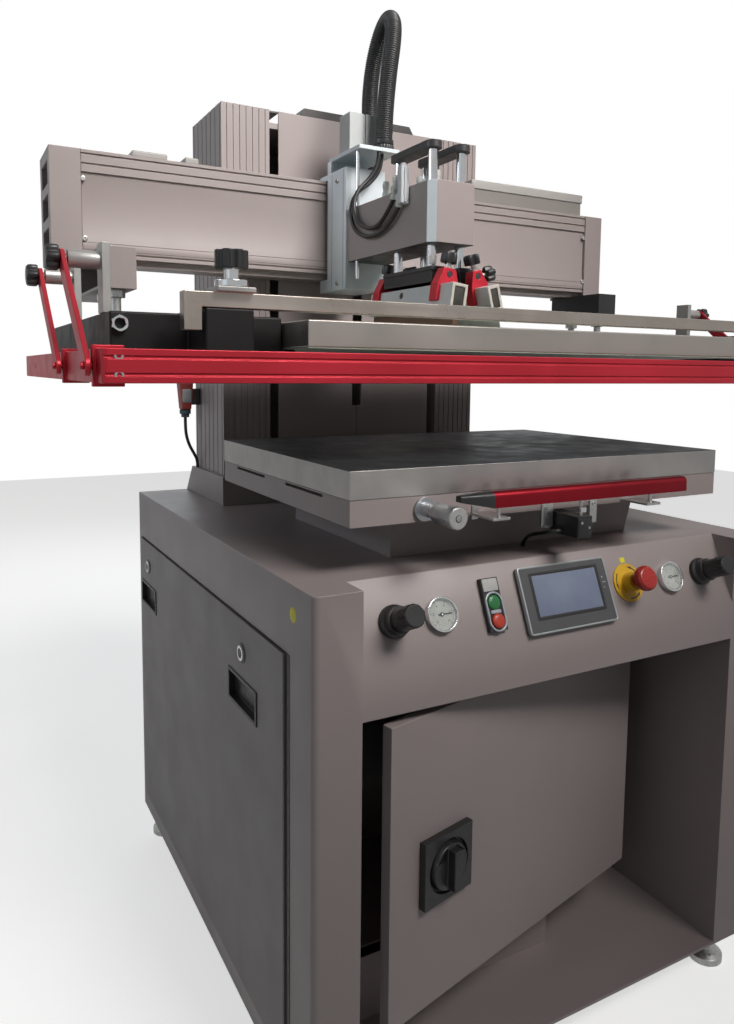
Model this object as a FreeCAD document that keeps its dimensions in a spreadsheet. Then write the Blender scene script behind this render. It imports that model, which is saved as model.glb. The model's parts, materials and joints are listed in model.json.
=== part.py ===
import FreeCAD, Part
import math
import os
import Sketcher
from FreeCAD import Placement, Rotation, Vector

# A flatbed screen printing press. X runs to the operator's right, Y runs to the back, Z is up.
# The origin lies on the floor under the middle of the cabinet. All lengths are in millimetres.

os.makedirs("parts", exist_ok=True)
document = FreeCAD.newDocument("screen_printing_press")
sheet = document.addObject("Spreadsheet::Sheet", "Sizes")
nodes = {}


class Size:
    """A number together with the expression that works it out from the sheet."""

    def __init__(self, number, text):
        self.number = float(number)
        self.text = text

    def __add__(self, other):
        other = as_size(other)
        return Size(self.number + other.number, "(%s + %s)" % (self.text, other.text))

    def __sub__(self, other):
        other = as_size(other)
        return Size(self.number - other.number, "(%s - %s)" % (self.text, other.text))

    def __mul__(self, other):
        other = as_size(other)
        return Size(self.number * other.number, "(%s * %s)" % (self.text, other.text))

    def __truediv__(self, other):
        other = as_size(other)
        return Size(self.number / other.number, "(%s / %s)" % (self.text, other.text))

    def __neg__(self):
        return Size(-self.number, "(-1 * %s)" % self.text)

    def __radd__(self, other):
        return as_size(other) + self

    def __rsub__(self, other):
        return as_size(other) - self

    def __rmul__(self, other):
        return as_size(other) * self

    def __float__(self):
        return self.number


def as_size(value):
    """A plain number as a Size."""
    if isinstance(value, Size):
        return value
    return Size(value, repr(value))


def slope_length(rise, run):
    """The length of a slope with this rise over this run."""
    return Size(math.hypot(rise.number, run.number),
                "sqrt(%s * %s + %s * %s)" % (rise.text, rise.text, run.text, run.text))


def slope_angle(rise, run):
    """The angle in degrees of a slope with this rise over this run."""
    ratio = rise / run
    return Size(math.degrees(math.atan(ratio.number)), "atan(%s)" % ratio.text)


class SheetValues:
    """The named values of the sheet, each read back as a Size."""

    def __init__(self):
        self.row = 0

    def put(self, **values):
        for name, number in values.items():
            self.row += 1
            sheet.set("A%d" % self.row, name)
            sheet.set("B%d" % self.row, repr(number))
            sheet.setAlias("B%d" % self.row, name)
            setattr(self, name, Size(number, "Sizes." + name))
        sheet.recompute()


S = SheetValues()


def bind(thing, path, amount):
    """Tie one property of an object to an expression on the sheet."""
    thing.setExpression(path, as_size(amount).text)


def place(item, x=0, y=0, z=0):
    """Tie an object's base point to the sheet."""
    bind(item, "Placement.Base.x", x)
    bind(item, "Placement.Base.y", y)
    bind(item, "Placement.Base.z", z)
    return item


def turn(item, axis, angle):
    """Turn an object about an axis through its base point, by an angle tied to the sheet."""
    item.Placement = Placement(Vector(), Rotation(Vector(*axis), as_size(angle).number))
    bind(item, "Placement.Rotation.Angle", angle)
    return item


def middle(centre, width):
    """The two limits of a width about its centre."""
    return (centre - width / 2, centre + width / 2)


def block(x, y, z):
    """A box between two limits on each axis."""
    item = document.addObject("Part::Box", "Block")
    bind(item, "Length", x[1] - x[0])
    bind(item, "Width", y[1] - y[0])
    bind(item, "Height", z[1] - z[0])
    return place(item, x[0], y[0], z[0])


QUARTER_TURN = 90
TOWARDS = {"X": ((0, 1, 0), QUARTER_TURN), "Y": ((1, 0, 0), -QUARTER_TURN), "Z": ((0, 0, 1), 0)}


def lay_along(item, axis, centre, low):
    """Lay an upright primitive along an axis, its foot at a level, its centre line where given."""
    direction, angle = TOWARDS[axis]
    item.Placement = Placement(Vector(), Rotation(Vector(*direction), angle))
    first, second = centre
    corner = {"X": (low, first, second), "Y": (first, low, second), "Z": (first, second, low)}[axis]
    return place(item, *corner)


def bar(axis, centre, radius, low, high):
    """A round bar along an axis; the centre gives its two other coordinates."""
    item = document.addObject("Part::Cylinder", "Bar")
    bind(item, "Radius", radius)
    bind(item, "Height", high - low)
    return lay_along(item, axis, centre, low)


def taper(axis, centre, low_radius, high_radius, low, high):
    """A round taper along an axis."""
    item = document.addObject("Part::Cone", "Taper")
    bind(item, "Radius1", low_radius)
    bind(item, "Radius2", high_radius)
    bind(item, "Height", high - low)
    return lay_along(item, axis, centre, low)


def hexagon(axis, centre, radius, low, high):
    """A hexagon nut's blank along an axis."""
    item = document.addObject("Part::Prism", "Hexagon")
    item.Polygon = 6
    bind(item, "Circumradius", radius)
    bind(item, "Height", high - low)
    return lay_along(item, axis, centre, low)


def group(*items):
    """Separate solids held as one object."""
    item = document.addObject("Part::Compound", "Group")
    item.Links = list(items)
    return item


def join(*items):
    """Solids welded into one."""
    item = document.addObject("Part::MultiFuse", "Join")
    item.Shapes = list(items)
    item.Refine = True
    return item


def cut(base, *tools):
    """A solid with others taken out of it."""
    item = document.addObject("Part::Cut", "Cut")
    item.Base = base
    item.Tool = group(*tools) if len(tools) > 1 else tools[0]
    item.Refine = True
    return item


def mirrored(source):
    """The other hand of an object, across the middle of the press."""
    item = document.addObject("Part::Mirroring", "Mirrored")
    item.Source = source
    item.Normal = Vector(1, 0, 0)
    return item


def both_hands(source):
    """An object and its other hand."""
    return group(source, mirrored(source))


def new_body():
    """An empty body for sketched features."""
    return document.addObject("PartDesign::Body", "Body")


def hold_point(sketch, geometry, end, x, y):
    """Hold one point of a sketch where the sheet says; an axis line holds a zero."""
    for kind, amount, axis_line in (("DistanceX", as_size(x), -2), ("DistanceY", as_size(y), -1)):
        if amount.text in ("0", "0.0"):
            sketch.addConstraint(Sketcher.Constraint("PointOnObject", geometry, end, axis_line))
            continue
        number = sketch.addConstraint(
            Sketcher.Constraint(kind, -1, 1, geometry, end, amount.number))
        sketch.setExpression("Constraints[%d]" % number, amount.text)


def draw_corners(sketch, corners):
    """A closed outline of straight edges through corner points, each held by the sheet."""
    first = sketch.GeometryCount
    count = len(corners)
    points = [Vector(float(as_size(x)), float(as_size(y)), 0) for x, y in corners]
    for number in range(count):
        edge = Part.LineSegment(points[number], points[(number + 1) % count])
        sketch.addGeometry(edge, False)
    for number in range(count):
        following = first + (number + 1) % count
        sketch.addConstraint(Sketcher.Constraint("Coincident", first + number, 2, following, 1))
    for number, (x, y) in enumerate(corners):
        hold_point(sketch, first + number, 1, x, y)


def draw_circle(sketch, x, y, radius):
    """A circle whose centre and radius the sheet holds."""
    centre = Vector(float(as_size(x)), float(as_size(y)), 0)
    circle = Part.Circle(centre, Vector(0, 0, 1), float(as_size(radius)))
    geometry = sketch.addGeometry(circle, False)
    hold_point(sketch, geometry, 3, x, y)
    number = sketch.addConstraint(
        Sketcher.Constraint("Radius", geometry, as_size(radius).number))
    sketch.setExpression("Constraints[%d]" % number, as_size(radius).text)


def draw(item, plane, loops, level=0):
    """A sketch on an origin plane of a body, lifted to a level.

    A loop is a list of corner points, or a circle given as (x, y, radius).
    """
    sketch = item.newObject("Sketcher::SketchObject", "Sketch")
    base = next(part for part in item.Origin.OriginFeatures if part.Role == plane)
    sketch.AttachmentSupport = [(base, "")]
    sketch.MapMode = "FlatFace"
    lift = -as_size(level) if plane == "XZ_Plane" else as_size(level)
    bind(sketch, "AttachmentOffset.Base.z", lift)
    for loop in loops:
        if isinstance(loop, tuple):
            draw_circle(sketch, *loop)
        else:
            draw_corners(sketch, loop)
    return sketch


def rectangle(first, second):
    """The corners of a rectangle between two limits on each axis of its plane."""
    return [(first[0], second[0]), (first[1], second[0]),
            (first[1], second[1]), (first[0], second[1])]


def pad(item, plane, loops, low, high):
    """Add a profile to a body between two levels along the plane's axis."""
    feature = item.newObject("PartDesign::Pad", "Pad")
    feature.Profile = draw(item, plane, loops, low)
    bind(feature, "Length", high - low)
    feature.Reversed = plane == "XZ_Plane"
    item.Tip = feature
    return feature


def pocket(item, plane, loops, low, high):
    """Take a profile out of a body between two levels along the plane's axis."""
    feature = item.newObject("PartDesign::Pocket", "Pocket")
    feature.Profile = draw(item, plane, loops, low)
    bind(feature, "Length", high - low)
    feature.Reversed = plane != "XZ_Plane"
    item.Tip = feature
    return feature


def repeat_pocket(item, feature, axis, length, count):
    """Repeat a pocket along one axis of its sketch."""
    pattern = item.newObject("PartDesign::LinearPattern", "Pattern")
    pattern.Originals = [feature]
    pattern.Direction = (feature.Profile[0], [axis])
    bind(pattern, "Length", length)
    pattern.Occurrences = count
    item.Tip = pattern


def ring_pocket(item, feature, count):
    """Repeat a pocket round the upright axis of its sketch."""
    pattern = item.newObject("PartDesign::PolarPattern", "Pattern")
    pattern.Originals = [feature]
    pattern.Axis = (feature.Profile[0], ["N_Axis"])
    pattern.Angle = 4 * QUARTER_TURN
    pattern.Occurrences = count
    item.Tip = pattern


def prism(plane, loops, low, high):
    """A body made of one profile between two levels."""
    item = new_body()
    pad(item, plane, loops, low, high)
    return item


def turned(corners):
    """A turned piece about the upright axis, from points of (radius, height)."""
    item = new_body()
    feature = item.newObject("PartDesign::Revolution", "Turned")
    sketch = draw(item, "XZ_Plane", [corners])
    feature.Profile = sketch
    feature.ReferenceAxis = (sketch, ["V_Axis"])
    feature.Angle = 4 * QUARTER_TURN
    item.Tip = feature
    return item


def round_edges(item, radius, wanted):
    """Round the edges of a body whose two ends both pass a test."""
    document.recompute()
    tip = item.Tip
    names = []
    for number, edge in enumerate(tip.Shape.Edges, 1):
        ends = [vertex.Point for vertex in edge.Vertexes]
        if len(ends) == 2 and wanted(ends[0], ends[1]):
            names.append("Edge%d" % number)
    feature = item.newObject("PartDesign::Fillet", "Fillet")
    feature.Base = (tip, names)
    bind(feature, "Radius", radius)
    item.Tip = feature


TOUCHING = 0.001


def near(value, size):
    """Whether a coordinate lies on a named size."""
    return abs(value - float(as_size(size))) < TOUCHING


ARC_REACH_SHARE = 0.45
VOLUME_SHARE = 0.01


def tube(points, radius):
    """A round tube along straight runs joined by tangent arcs, each as large as its runs allow."""
    points = [Vector(*[float(as_size(amount)) for amount in point]) for point in points]
    edges = []
    radii = []
    start = points[0]
    for before, corner, after in zip(points, points[1:], points[2:]):
        back = (before - corner).normalize()
        ahead = (after - corner).normalize()
        half_turn = (math.pi - back.getAngle(ahead)) / 2
        reach = ARC_REACH_SHARE * min((before - corner).Length, (after - corner).Length)
        bend = reach / math.tan(half_turn)
        inward = (back + ahead).normalize()
        first = corner + back * reach
        last = corner + ahead * reach
        centre_distance = bend / math.cos(half_turn)
        top = corner + inward * (centre_distance - bend)
        edges.append(Part.LineSegment(start, first).toShape())
        edges.append(Part.Arc(first, top, last).toShape())
        radii.append(bend)
        start = last
    edges.append(Part.LineSegment(start, points[-1]).toShape())
    path = Part.Wire(edges)
    ring = Part.makeCircle(radius.number, points[0], points[1] - points[0])
    solid = path.makePipeShell([Part.Wire([ring])], True, False)
    expected = math.pi * radius.number ** 2 * path.Length
    print("tube length %.0f, radii %s" % (path.Length, " ".join("%.0f" % r for r in radii)))
    if abs(solid.Volume / expected - 1) > VOLUME_SHARE:
        raise RuntimeError("a tube's volume is not its section times its length")
    item = document.addObject("Part::Feature", "Tube")
    item.Shape = solid
    return item


def node(name, item):
    """Give a finished sub-part its own name."""
    item.Label = name
    nodes[name] = item
    return item


# Cabinet: a welded sheet steel box with a sloped console between two cheeks and a knee recess.
S.put(cabinet_width=870.0, cabinet_depth=960.0, cabinet_height=750.0, feet_height=60.0,
      cheek_width=71.0, side_frame=25.0, sheet_wall=4.0, floor_sheet=5.0,
      console_setback=50.0, console_drop=115.0, apron_fall=63.0, console_wall=6.0,
      knee_depth=420.0, front_corner_radius=10.0,
      cover_recess_depth=20.0, cover_gap=3.0, cover_ledge=25.0,
      running_gap=0.3, overrun=5.0)
half_width = S.cabinet_width / 2
front = -(S.cabinet_depth / 2)
rear = S.cabinet_depth / 2
deck = S.feet_height + S.cabinet_height
floor_top = S.feet_height + S.floor_sheet
recess_half = half_width - S.cheek_width
panel_foot = deck - S.console_drop
apron_foot = panel_foot - S.apron_fall
console_back = front + S.console_setback
knee_back = front + S.knee_depth
cavity_half = half_width - S.side_frame

# Left side cover, whose size also sets the recess that takes it.
S.put(cover_front=-390.0, cover_rear=455.0, cover_foot=100.0, cover_top=708.0,
      cover_proud=3.0, cover_sheet=2.0)
cover_span = (S.cover_front, S.cover_rear)
cover_rise = (S.cover_foot, S.cover_top)
recess_floor = S.cover_recess_depth - half_width

# Cable that drops through the deck in front of the pedestal.
S.put(deck_hole_x=-5.0, deck_hole_y=-357.0, switch_cable_radius=3.0, grommet_radius=7.0)

cabinet = new_body()
pad(cabinet, "XY_Plane", [rectangle((-half_width, half_width), (front, rear))],
    S.feet_height, deck)
round_edges(cabinet, S.front_corner_radius,
            lambda a, b: near(a.y, front) and near(b.y, front) and near(a.x, b.x))
pocket(cabinet, "YZ_Plane",
       [[(front, panel_foot), (console_back, deck), (console_back, deck + S.overrun),
         (front - S.overrun, deck + S.overrun), (front - S.overrun, panel_foot)]],
       -recess_half, recess_half)
pocket(cabinet, "XZ_Plane",
       [rectangle((-recess_half, recess_half), (floor_top, apron_foot))],
       front - S.overrun, knee_back)
pocket(cabinet, "YZ_Plane",
       [[(front + S.console_wall, apron_foot + S.sheet_wall),
         (front + S.console_wall, panel_foot),
         (console_back + S.console_wall, deck - S.sheet_wall),
         (knee_back - S.sheet_wall, deck - S.sheet_wall),
         (knee_back - S.sheet_wall, apron_foot + S.sheet_wall)]],
       S.sheet_wall - recess_half, recess_half - S.sheet_wall)
pocket(cabinet, "XZ_Plane",
       [rectangle((-cavity_half, cavity_half), (floor_top, deck - S.sheet_wall))],
       knee_back + S.sheet_wall, rear - S.sheet_wall)
for low, high in ((-cavity_half, -recess_half - S.sheet_wall),
                  (recess_half + S.sheet_wall, cavity_half)):
    pocket(cabinet, "XZ_Plane", [rectangle((low, high), (floor_top, S.cover_top))],
           front + S.side_frame, knee_back + S.sheet_wall)
recess_loop = rectangle((S.cover_front - S.cover_gap, S.cover_rear + S.cover_gap),
                        (S.cover_foot - S.cover_gap, S.cover_top + S.cover_gap))
pocket(cabinet, "YZ_Plane", [recess_loop], -half_width - S.overrun, recess_floor)
service_loop = rectangle((S.cover_front + S.cover_ledge, S.cover_rear - S.cover_ledge),
                         (S.cover_foot + S.cover_ledge, S.cover_top - S.cover_ledge))
pocket(cabinet, "YZ_Plane", [service_loop], recess_floor, -cavity_half)
pocket(cabinet, "XY_Plane", [(S.deck_hole_x, S.deck_hole_y, S.grommet_radius)],
       deck - S.console_wall, deck + S.overrun)
node("cabinet_shell", cabinet)

# Levelling feet: a turned pad on a threaded stud with a lock nut, under each corner.
S.put(foot_inset_x=40.0, foot_inset_y=40.0, foot_radius=30.0, foot_pad=12.0, foot_neck=18.0,
      foot_shoulder_radius=20.0, foot_stud_radius=8.0, foot_nut_radius=14.0, foot_nut_height=10.0)
feet = []
for side in (-1, 1):
    for end in (-1, 1):
        centre = (side * (half_width - S.foot_inset_x), end * (rear - S.foot_inset_y))
        profile = turned([(0, 0), (S.foot_radius, 0), (S.foot_radius, S.foot_pad),
                          (S.foot_shoulder_radius, S.foot_neck),
                          (S.foot_stud_radius, S.foot_neck),
                          (S.foot_stud_radius, S.feet_height), (0, S.feet_height)])
        place(profile, *centre)
        nut = hexagon("Z", centre, S.foot_nut_radius,
                      S.feet_height - S.foot_nut_height, S.feet_height)
        feet.append(join(profile, nut))
node("levelling_feet", group(*feet))

# Electrical box in the knee recess, with the pins that its door swings on.
S.put(box_left=-356.0, box_right=268.0, box_front=-319.0, box_foot=175.0, box_top=618.0,
      box_wall=3.0, hinge_offset_x=8.0, hinge_offset_y=4.0, hinge_pin_radius=3.0,
      hinge_knuckle_radius=5.5, hinge_bore_clearance=0.05, hinge_lug_height=16.0,
      hinge_knuckle_height=40.0, hinge_inset=40.0, hinge_end_gap=0.5,
      box_stand_width=451.0, box_stand_front=-335.0, box_stand_gap=3.0,
      module_width=90.0, module_height=110.0, module_depth=75.0, module_pitch=130.0)
hinge_x = S.box_right + S.hinge_offset_x
hinge_y = S.box_front - S.hinge_offset_y
box_pan = new_body()
pad(box_pan, "XZ_Plane", [rectangle((S.box_left, S.box_right), (S.box_foot, S.box_top))],
    S.box_front, knee_back)
pocket(box_pan, "XZ_Plane",
       [rectangle((S.box_left + S.box_wall, S.box_right - S.box_wall),
                  (S.box_foot + S.box_wall, S.box_top - S.box_wall))],
       S.box_front - S.overrun, knee_back - S.box_wall)
hinge_feet = (S.box_foot + S.hinge_inset,
              S.box_top - S.hinge_inset - S.hinge_knuckle_height)
box_pieces = [box_pan]
for foot in hinge_feet:
    lug_foot = foot - S.hinge_end_gap - S.hinge_lug_height
    box_pieces.append(block((S.box_right - S.box_wall, hinge_x),
                            (hinge_y + S.hinge_offset_y, hinge_y + S.hinge_knuckle_radius),
                            (lug_foot, foot - S.hinge_end_gap)))
    box_pieces.append(bar("Z", (hinge_x, hinge_y), S.hinge_knuckle_radius,
                          lug_foot, foot - S.hinge_end_gap))
    box_pieces.append(bar("Z", (hinge_x, hinge_y), S.hinge_pin_radius,
                          lug_foot, foot + S.hinge_knuckle_height))
stand = cut(block((S.box_left, S.box_left + S.box_stand_width),
                  (S.box_stand_front, knee_back), (floor_top, S.box_foot)),
            block((S.box_left + S.box_wall, S.box_left + S.box_stand_width - S.box_wall),
                  (S.box_stand_front + S.box_wall, knee_back),
                  (floor_top, S.box_foot)),
            block((S.box_left, S.box_left + S.box_stand_width),
                  (S.box_stand_front - S.overrun, S.box_front),
                  (S.box_foot - S.box_stand_gap, S.box_foot + S.overrun)))
modules = []
module_middle = (S.box_foot + S.box_top) / 2
for step in (-1, 0, 1):
    centre = (S.box_left + S.box_right) / 2 + step * S.module_pitch
    modules.append(block(middle(centre, S.module_width),
                         (knee_back - S.box_wall - S.module_depth, knee_back - S.box_wall),
                         middle(module_middle, S.module_height)))
node("electrical_box", group(join(*box_pieces), stand, *modules))

# Electrical door: a folded pan, left ajar, on two lift-off hinges.
S.put(door_width=612.0, door_thickness=18.0, door_sheet=2.0, door_edge_gap=8.0, door_ajar=13.5,
      switch_plate=100.0, switch_plate_inset=57.0, switch_plate_height=385.0,
      switch_plate_thickness=12.0, switch_collar_radius=40.0, switch_recess=7.0,
      switch_knob_radius=37.0, switch_knob_depth=22.0, switch_spindle_radius=6.0,
      switch_grip_width=16.0, switch_grip_depth=14.0)


def on_door(item):
    """Carry a piece drawn in the door's own frame to the door, which stands ajar."""
    return place(turn(item, (0, 0, 1), S.door_ajar), hinge_x, hinge_y)


door_rise = (S.box_foot, S.box_top)
door_span = (-(S.door_edge_gap + S.door_width), -S.door_edge_gap)
door_pan = new_body()
pad(door_pan, "XY_Plane", [rectangle(door_span, (-S.door_thickness, 0))], *door_rise)
pocket(door_pan, "XZ_Plane",
       [rectangle((door_span[0] + S.door_sheet, door_span[1] - S.door_sheet),
                  (S.box_foot + S.door_sheet, S.box_top - S.door_sheet))],
       S.door_sheet - S.door_thickness, S.overrun)
knuckles = [door_pan]
for foot in hinge_feet:
    rise = (foot, foot + S.hinge_knuckle_height)
    knuckles.append(bar("Z", (0, 0), S.hinge_knuckle_radius, *rise))
    knuckles.append(block((-S.door_edge_gap, 0),
                          (-S.hinge_knuckle_radius, -S.hinge_pin_radius), rise))
hinge_bore = bar("Z", (0, 0), S.hinge_pin_radius + S.hinge_bore_clearance,
                 S.box_foot - S.overrun, S.box_top + S.overrun)
switch_x = door_span[0] + S.switch_plate_inset + S.switch_plate / 2
plate_face = -(S.door_thickness + S.switch_plate_thickness)
spindle_bore = bar("Y", (switch_x, S.switch_plate_height),
                   S.switch_spindle_radius + S.hinge_bore_clearance,
                   plate_face - S.overrun, S.overrun)
node("electrical_door", on_door(cut(join(*knuckles), hinge_bore, spindle_bore)))

# Main switch on the door: a square black plate with a dished seat and a round knob with a grip.
switch_plate = new_body()
pad(switch_plate, "XZ_Plane",
    [rectangle(middle(switch_x, S.switch_plate),
               middle(S.switch_plate_height, S.switch_plate))],
    plate_face, -S.door_thickness)
pocket(switch_plate, "XZ_Plane",
       [(switch_x, S.switch_plate_height, S.switch_collar_radius)],
       plate_face - S.overrun, plate_face + S.switch_recess)
pocket(switch_plate, "XZ_Plane",
       [(switch_x, S.switch_plate_height, S.switch_spindle_radius + S.hinge_bore_clearance)],
       plate_face - S.overrun, S.overrun)
node("main_switch_plate", on_door(switch_plate))
knob_seat = plate_face + S.switch_recess - S.running_gap
switch_centre = (switch_x, S.switch_plate_height)
switch_knob = join(
    taper("Y", switch_centre, S.switch_knob_radius - S.switch_recess / 2, S.switch_knob_radius,
          knob_seat - S.switch_knob_depth / 2, knob_seat),
    block(middle(switch_x, S.switch_grip_width),
          (knob_seat - S.switch_knob_depth / 2 - S.switch_grip_depth, knob_seat),
          middle(S.switch_plate_height, S.switch_knob_radius * 2 - S.switch_recess * 2)),
    bar("Y", switch_centre, S.switch_spindle_radius, knob_seat, -S.door_sheet))
node("main_switch_knob", on_door(switch_knob))

# Left side cover: a lift-off steel pan in the cabinet's side, with two cup handles and two locks.
S.put(cup_height=46.0, cup_width=120.0, cup_depth=12.0, cup_rim=4.0, cup_proud=2.0,
      cup_wall=2.0, cup_middle=589.0, front_lock_y=-222.0, rear_lock_y=385.0,
      lock_height=656.0, lock_head_radius=12.0, lock_head=4.0, lock_shaft_radius=8.0,
      lock_cam_reach=40.0, lock_cam_width=16.0, lock_cam_thickness=3.0, lock_slot_width=2.5,
      lock_slot_length=9.0, lock_slot_depth=1.5)
cover_face = -half_width - S.cover_proud
cover_inside = recess_floor - S.running_gap
side_cover = new_body()
pad(side_cover, "YZ_Plane", [rectangle(cover_span, cover_rise)], cover_face, cover_inside)
pocket(side_cover, "YZ_Plane",
       [rectangle((S.cover_front + S.cover_sheet, S.cover_rear - S.cover_sheet),
                  (S.cover_foot + S.cover_sheet, S.cover_top - S.cover_sheet))],
       cover_face + S.cover_sheet, cover_inside + S.overrun)
for lock_y in (S.front_lock_y, S.rear_lock_y):
    pocket(side_cover, "YZ_Plane",
           [rectangle(middle(lock_y, S.cup_width), middle(S.cup_middle, S.cup_height)),
            (lock_y, S.lock_height, S.lock_shaft_radius + S.hinge_bore_clearance)],
           cover_face - S.overrun, cover_face + S.cover_sheet)
node("left_side_cover", side_cover)

cups = []
for lock_y in (S.front_lock_y, S.rear_lock_y):
    cup = new_body()
    pad(cup, "YZ_Plane",
        [rectangle(middle(lock_y, S.cup_width + S.cup_rim * 2),
                   middle(S.cup_middle, S.cup_height + S.cup_rim * 2))],
        cover_face - S.cup_proud, cover_face)
    pad(cup, "YZ_Plane",
        [rectangle(middle(lock_y, S.cup_width), middle(S.cup_middle, S.cup_height))],
        cover_face, cover_face + S.cup_depth)
    pocket(cup, "YZ_Plane",
           [rectangle(middle(lock_y, S.cup_width - S.cup_wall * 2),
                      middle(S.cup_middle, S.cup_height - S.cup_wall * 2))],
           cover_face - S.cup_proud - S.overrun, cover_face + S.cup_depth - S.cup_wall)
    cups.append(cup)
node("cup_handles", group(*cups))

for name, lock_y in (("front_cam_lock", S.front_lock_y), ("rear_cam_lock", S.rear_lock_y)):
    cam_face = -cavity_half + S.running_gap
    head = cut(bar("X", (lock_y, S.lock_height), S.lock_head_radius,
                   cover_face - S.lock_head, cover_face),
               block((cover_face - S.lock_head - S.overrun,
                      cover_face - S.lock_head + S.lock_slot_depth),
                     middle(lock_y, S.lock_slot_width),
                     middle(S.lock_height, S.lock_slot_length)))
    lock = join(head,
                bar("X", (lock_y, S.lock_height), S.lock_shaft_radius, cover_face,
                    cam_face + S.lock_cam_thickness),
                block((cam_face, cam_face + S.lock_cam_thickness),
                      middle(lock_y, S.lock_cam_width),
                      (S.lock_height - S.lock_cam_width / 2, S.lock_height + S.lock_cam_reach)))
    node(name, lock)

# Console: everything here is drawn flat on the panel and then leant back with it.
console_lean = slope_angle(S.console_drop, S.console_setback)


def on_panel(item):
    """Carry a piece drawn flat, X across and Y up the slope, to the sloped console."""
    return place(turn(item, (1, 0, 0), console_lean), 0, front, panel_foot)


S.put(regulator_x=305.0, regulator_up=63.0, regulator_flange_radius=23.0,
      regulator_flange=7.0, regulator_neck_radius=19.0, regulator_neck=22.0,
      regulator_spigot_radius=6.0, regulator_spigot_top=50.0,
      regulator_knob_radius=16.0, regulator_knob_top=62.0, regulator_flute_radius=2.0,
      regulator_flute_count=10, shaft_clearance=0.05,
      gauge_x=229.0, gauge_up=62.0, gauge_radius=25.0, gauge_height=10.0,
      gauge_bore_radius=22.0, gauge_dial=4.0, gauge_pin_radius=1.5, gauge_pin_top=6.6,
      gauge_lens_seat=8.5, gauge_lens_thickness=1.0,
      needle_hub_radius=3.0, needle_length=17.0, needle_tail=6.0, needle_width=2.0,
      needle_foot=4.8, needle_thickness=0.9,
      button_x=-140.0, button_plate_width=31.0, button_plate_foot=26.0, button_plate_top=103.0,
      button_plate_thickness=8.0, start_up=67.0, stop_up=40.0,
      button_well_radius=11.0, button_well_floor=2.0, button_cap_radius=10.6,
      button_cap_foot=5.4, button_cap_edge=1.0, start_cap_top=10.0, stop_cap_top=12.0,
      screen_width=174.0, screen_height=100.5, screen_thickness=10.0, screen_up=60.0,
      screen_corner=5.0, window_width=130.0, window_height=64.0, window_up=65.0,
      window_depth=1.0,
      stop_x=135.5, stop_head_up=64.0, stop_disc_radius=31.0, stop_disc=2.5,
      stop_hub_radius=15.0, stop_hub_top=20.0, stop_stem_radius=8.0, stop_stem_foot=8.0,
      stop_head_foot=27.0, stop_head_top=48.0, stop_head_radius=20.0, stop_neck_radius=12.0)

bezels = []
for side in (-1, 1):
    nut = turned([(0, 0), (S.regulator_flange_radius, 0),
                  (S.regulator_flange_radius, S.regulator_flange),
                  (S.regulator_neck_radius, S.regulator_flange + S.regulator_flange / 2),
                  (S.regulator_neck_radius, S.regulator_neck),
                  (S.regulator_spigot_radius, S.regulator_neck),
                  (S.regulator_spigot_radius, S.regulator_spigot_top),
                  (0, S.regulator_spigot_top)])
    bezels.append(place(nut, side * S.regulator_x, S.regulator_up))
button_plate = new_body()
pad(button_plate, "XY_Plane",
    [rectangle(middle(S.button_x, S.button_plate_width),
               (S.button_plate_foot, S.button_plate_top))],
    0, S.button_plate_thickness)
pocket(button_plate, "XY_Plane",
       [(S.button_x, S.start_up, S.button_well_radius),
        (S.button_x, S.stop_up, S.button_well_radius)],
       S.button_well_floor, S.button_plate_thickness + S.overrun)
node("panel_bezels", on_panel(group(button_plate, *bezels)))

gauges = []
lenses = []
for side in (-1, 1):
    case = turned([(0, 0), (S.gauge_radius, 0), (S.gauge_radius, S.gauge_height),
                   (S.gauge_bore_radius, S.gauge_height), (S.gauge_bore_radius, S.gauge_dial),
                   (S.gauge_pin_radius, S.gauge_dial), (S.gauge_pin_radius, S.gauge_pin_top),
                   (0, S.gauge_pin_top)])
    gauges.append(place(case, side * S.gauge_x, S.gauge_up))
    lenses.append(bar("Z", (side * S.gauge_x, S.gauge_up), S.gauge_bore_radius,
                      S.gauge_lens_seat, S.gauge_lens_seat + S.gauge_lens_thickness))
node("gauge_cases", on_panel(group(*gauges)))
window = block(middle(0, S.window_width),
               middle(S.window_up, S.window_height),
               (S.screen_thickness - S.window_depth, S.screen_thickness))
node("console_windows", on_panel(group(window, *lenses)))

screen_case = new_body()
pad(screen_case, "XY_Plane",
    [rectangle(middle(0, S.screen_width), middle(S.screen_up, S.screen_height))],
    0, S.screen_thickness)
round_edges(screen_case, S.screen_corner,
            lambda a, b: near(a.x, b.x) and near(a.y, b.y) and not near(a.z, b.z))
pocket(screen_case, "XY_Plane",
       [rectangle(middle(0, S.window_width),
                  middle(S.window_up, S.window_height))],
       S.screen_thickness - S.window_depth, S.screen_thickness + S.overrun)
node("touch_screen_housing", on_panel(screen_case))

for name, side in (("left_regulator_knob", -1), ("right_regulator_knob", 1)):
    knob_foot = S.regulator_neck + S.running_gap
    spigot_bore = S.regulator_spigot_radius + S.shaft_clearance
    knob = turned([(spigot_bore, knob_foot), (S.regulator_knob_radius, knob_foot),
                   (S.regulator_knob_radius, S.regulator_knob_top - S.regulator_flute_radius),
                   (S.regulator_knob_radius - S.regulator_flute_radius, S.regulator_knob_top),
                   (0, S.regulator_knob_top), (0, S.regulator_spigot_top + S.running_gap),
                   (spigot_bore, S.regulator_spigot_top + S.running_gap)])
    flute = pocket(knob, "XY_Plane",
                   [(S.regulator_knob_radius + S.regulator_flute_radius / 2, 0,
                     S.regulator_flute_radius)],
                   (knob_foot + S.regulator_knob_top) / 2, S.regulator_knob_top + S.overrun)
    ring_pocket(knob, flute, int(S.regulator_flute_count.number))
    place(knob, side * S.regulator_x, S.regulator_up)
    node(name, on_panel(group(knob)))

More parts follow.
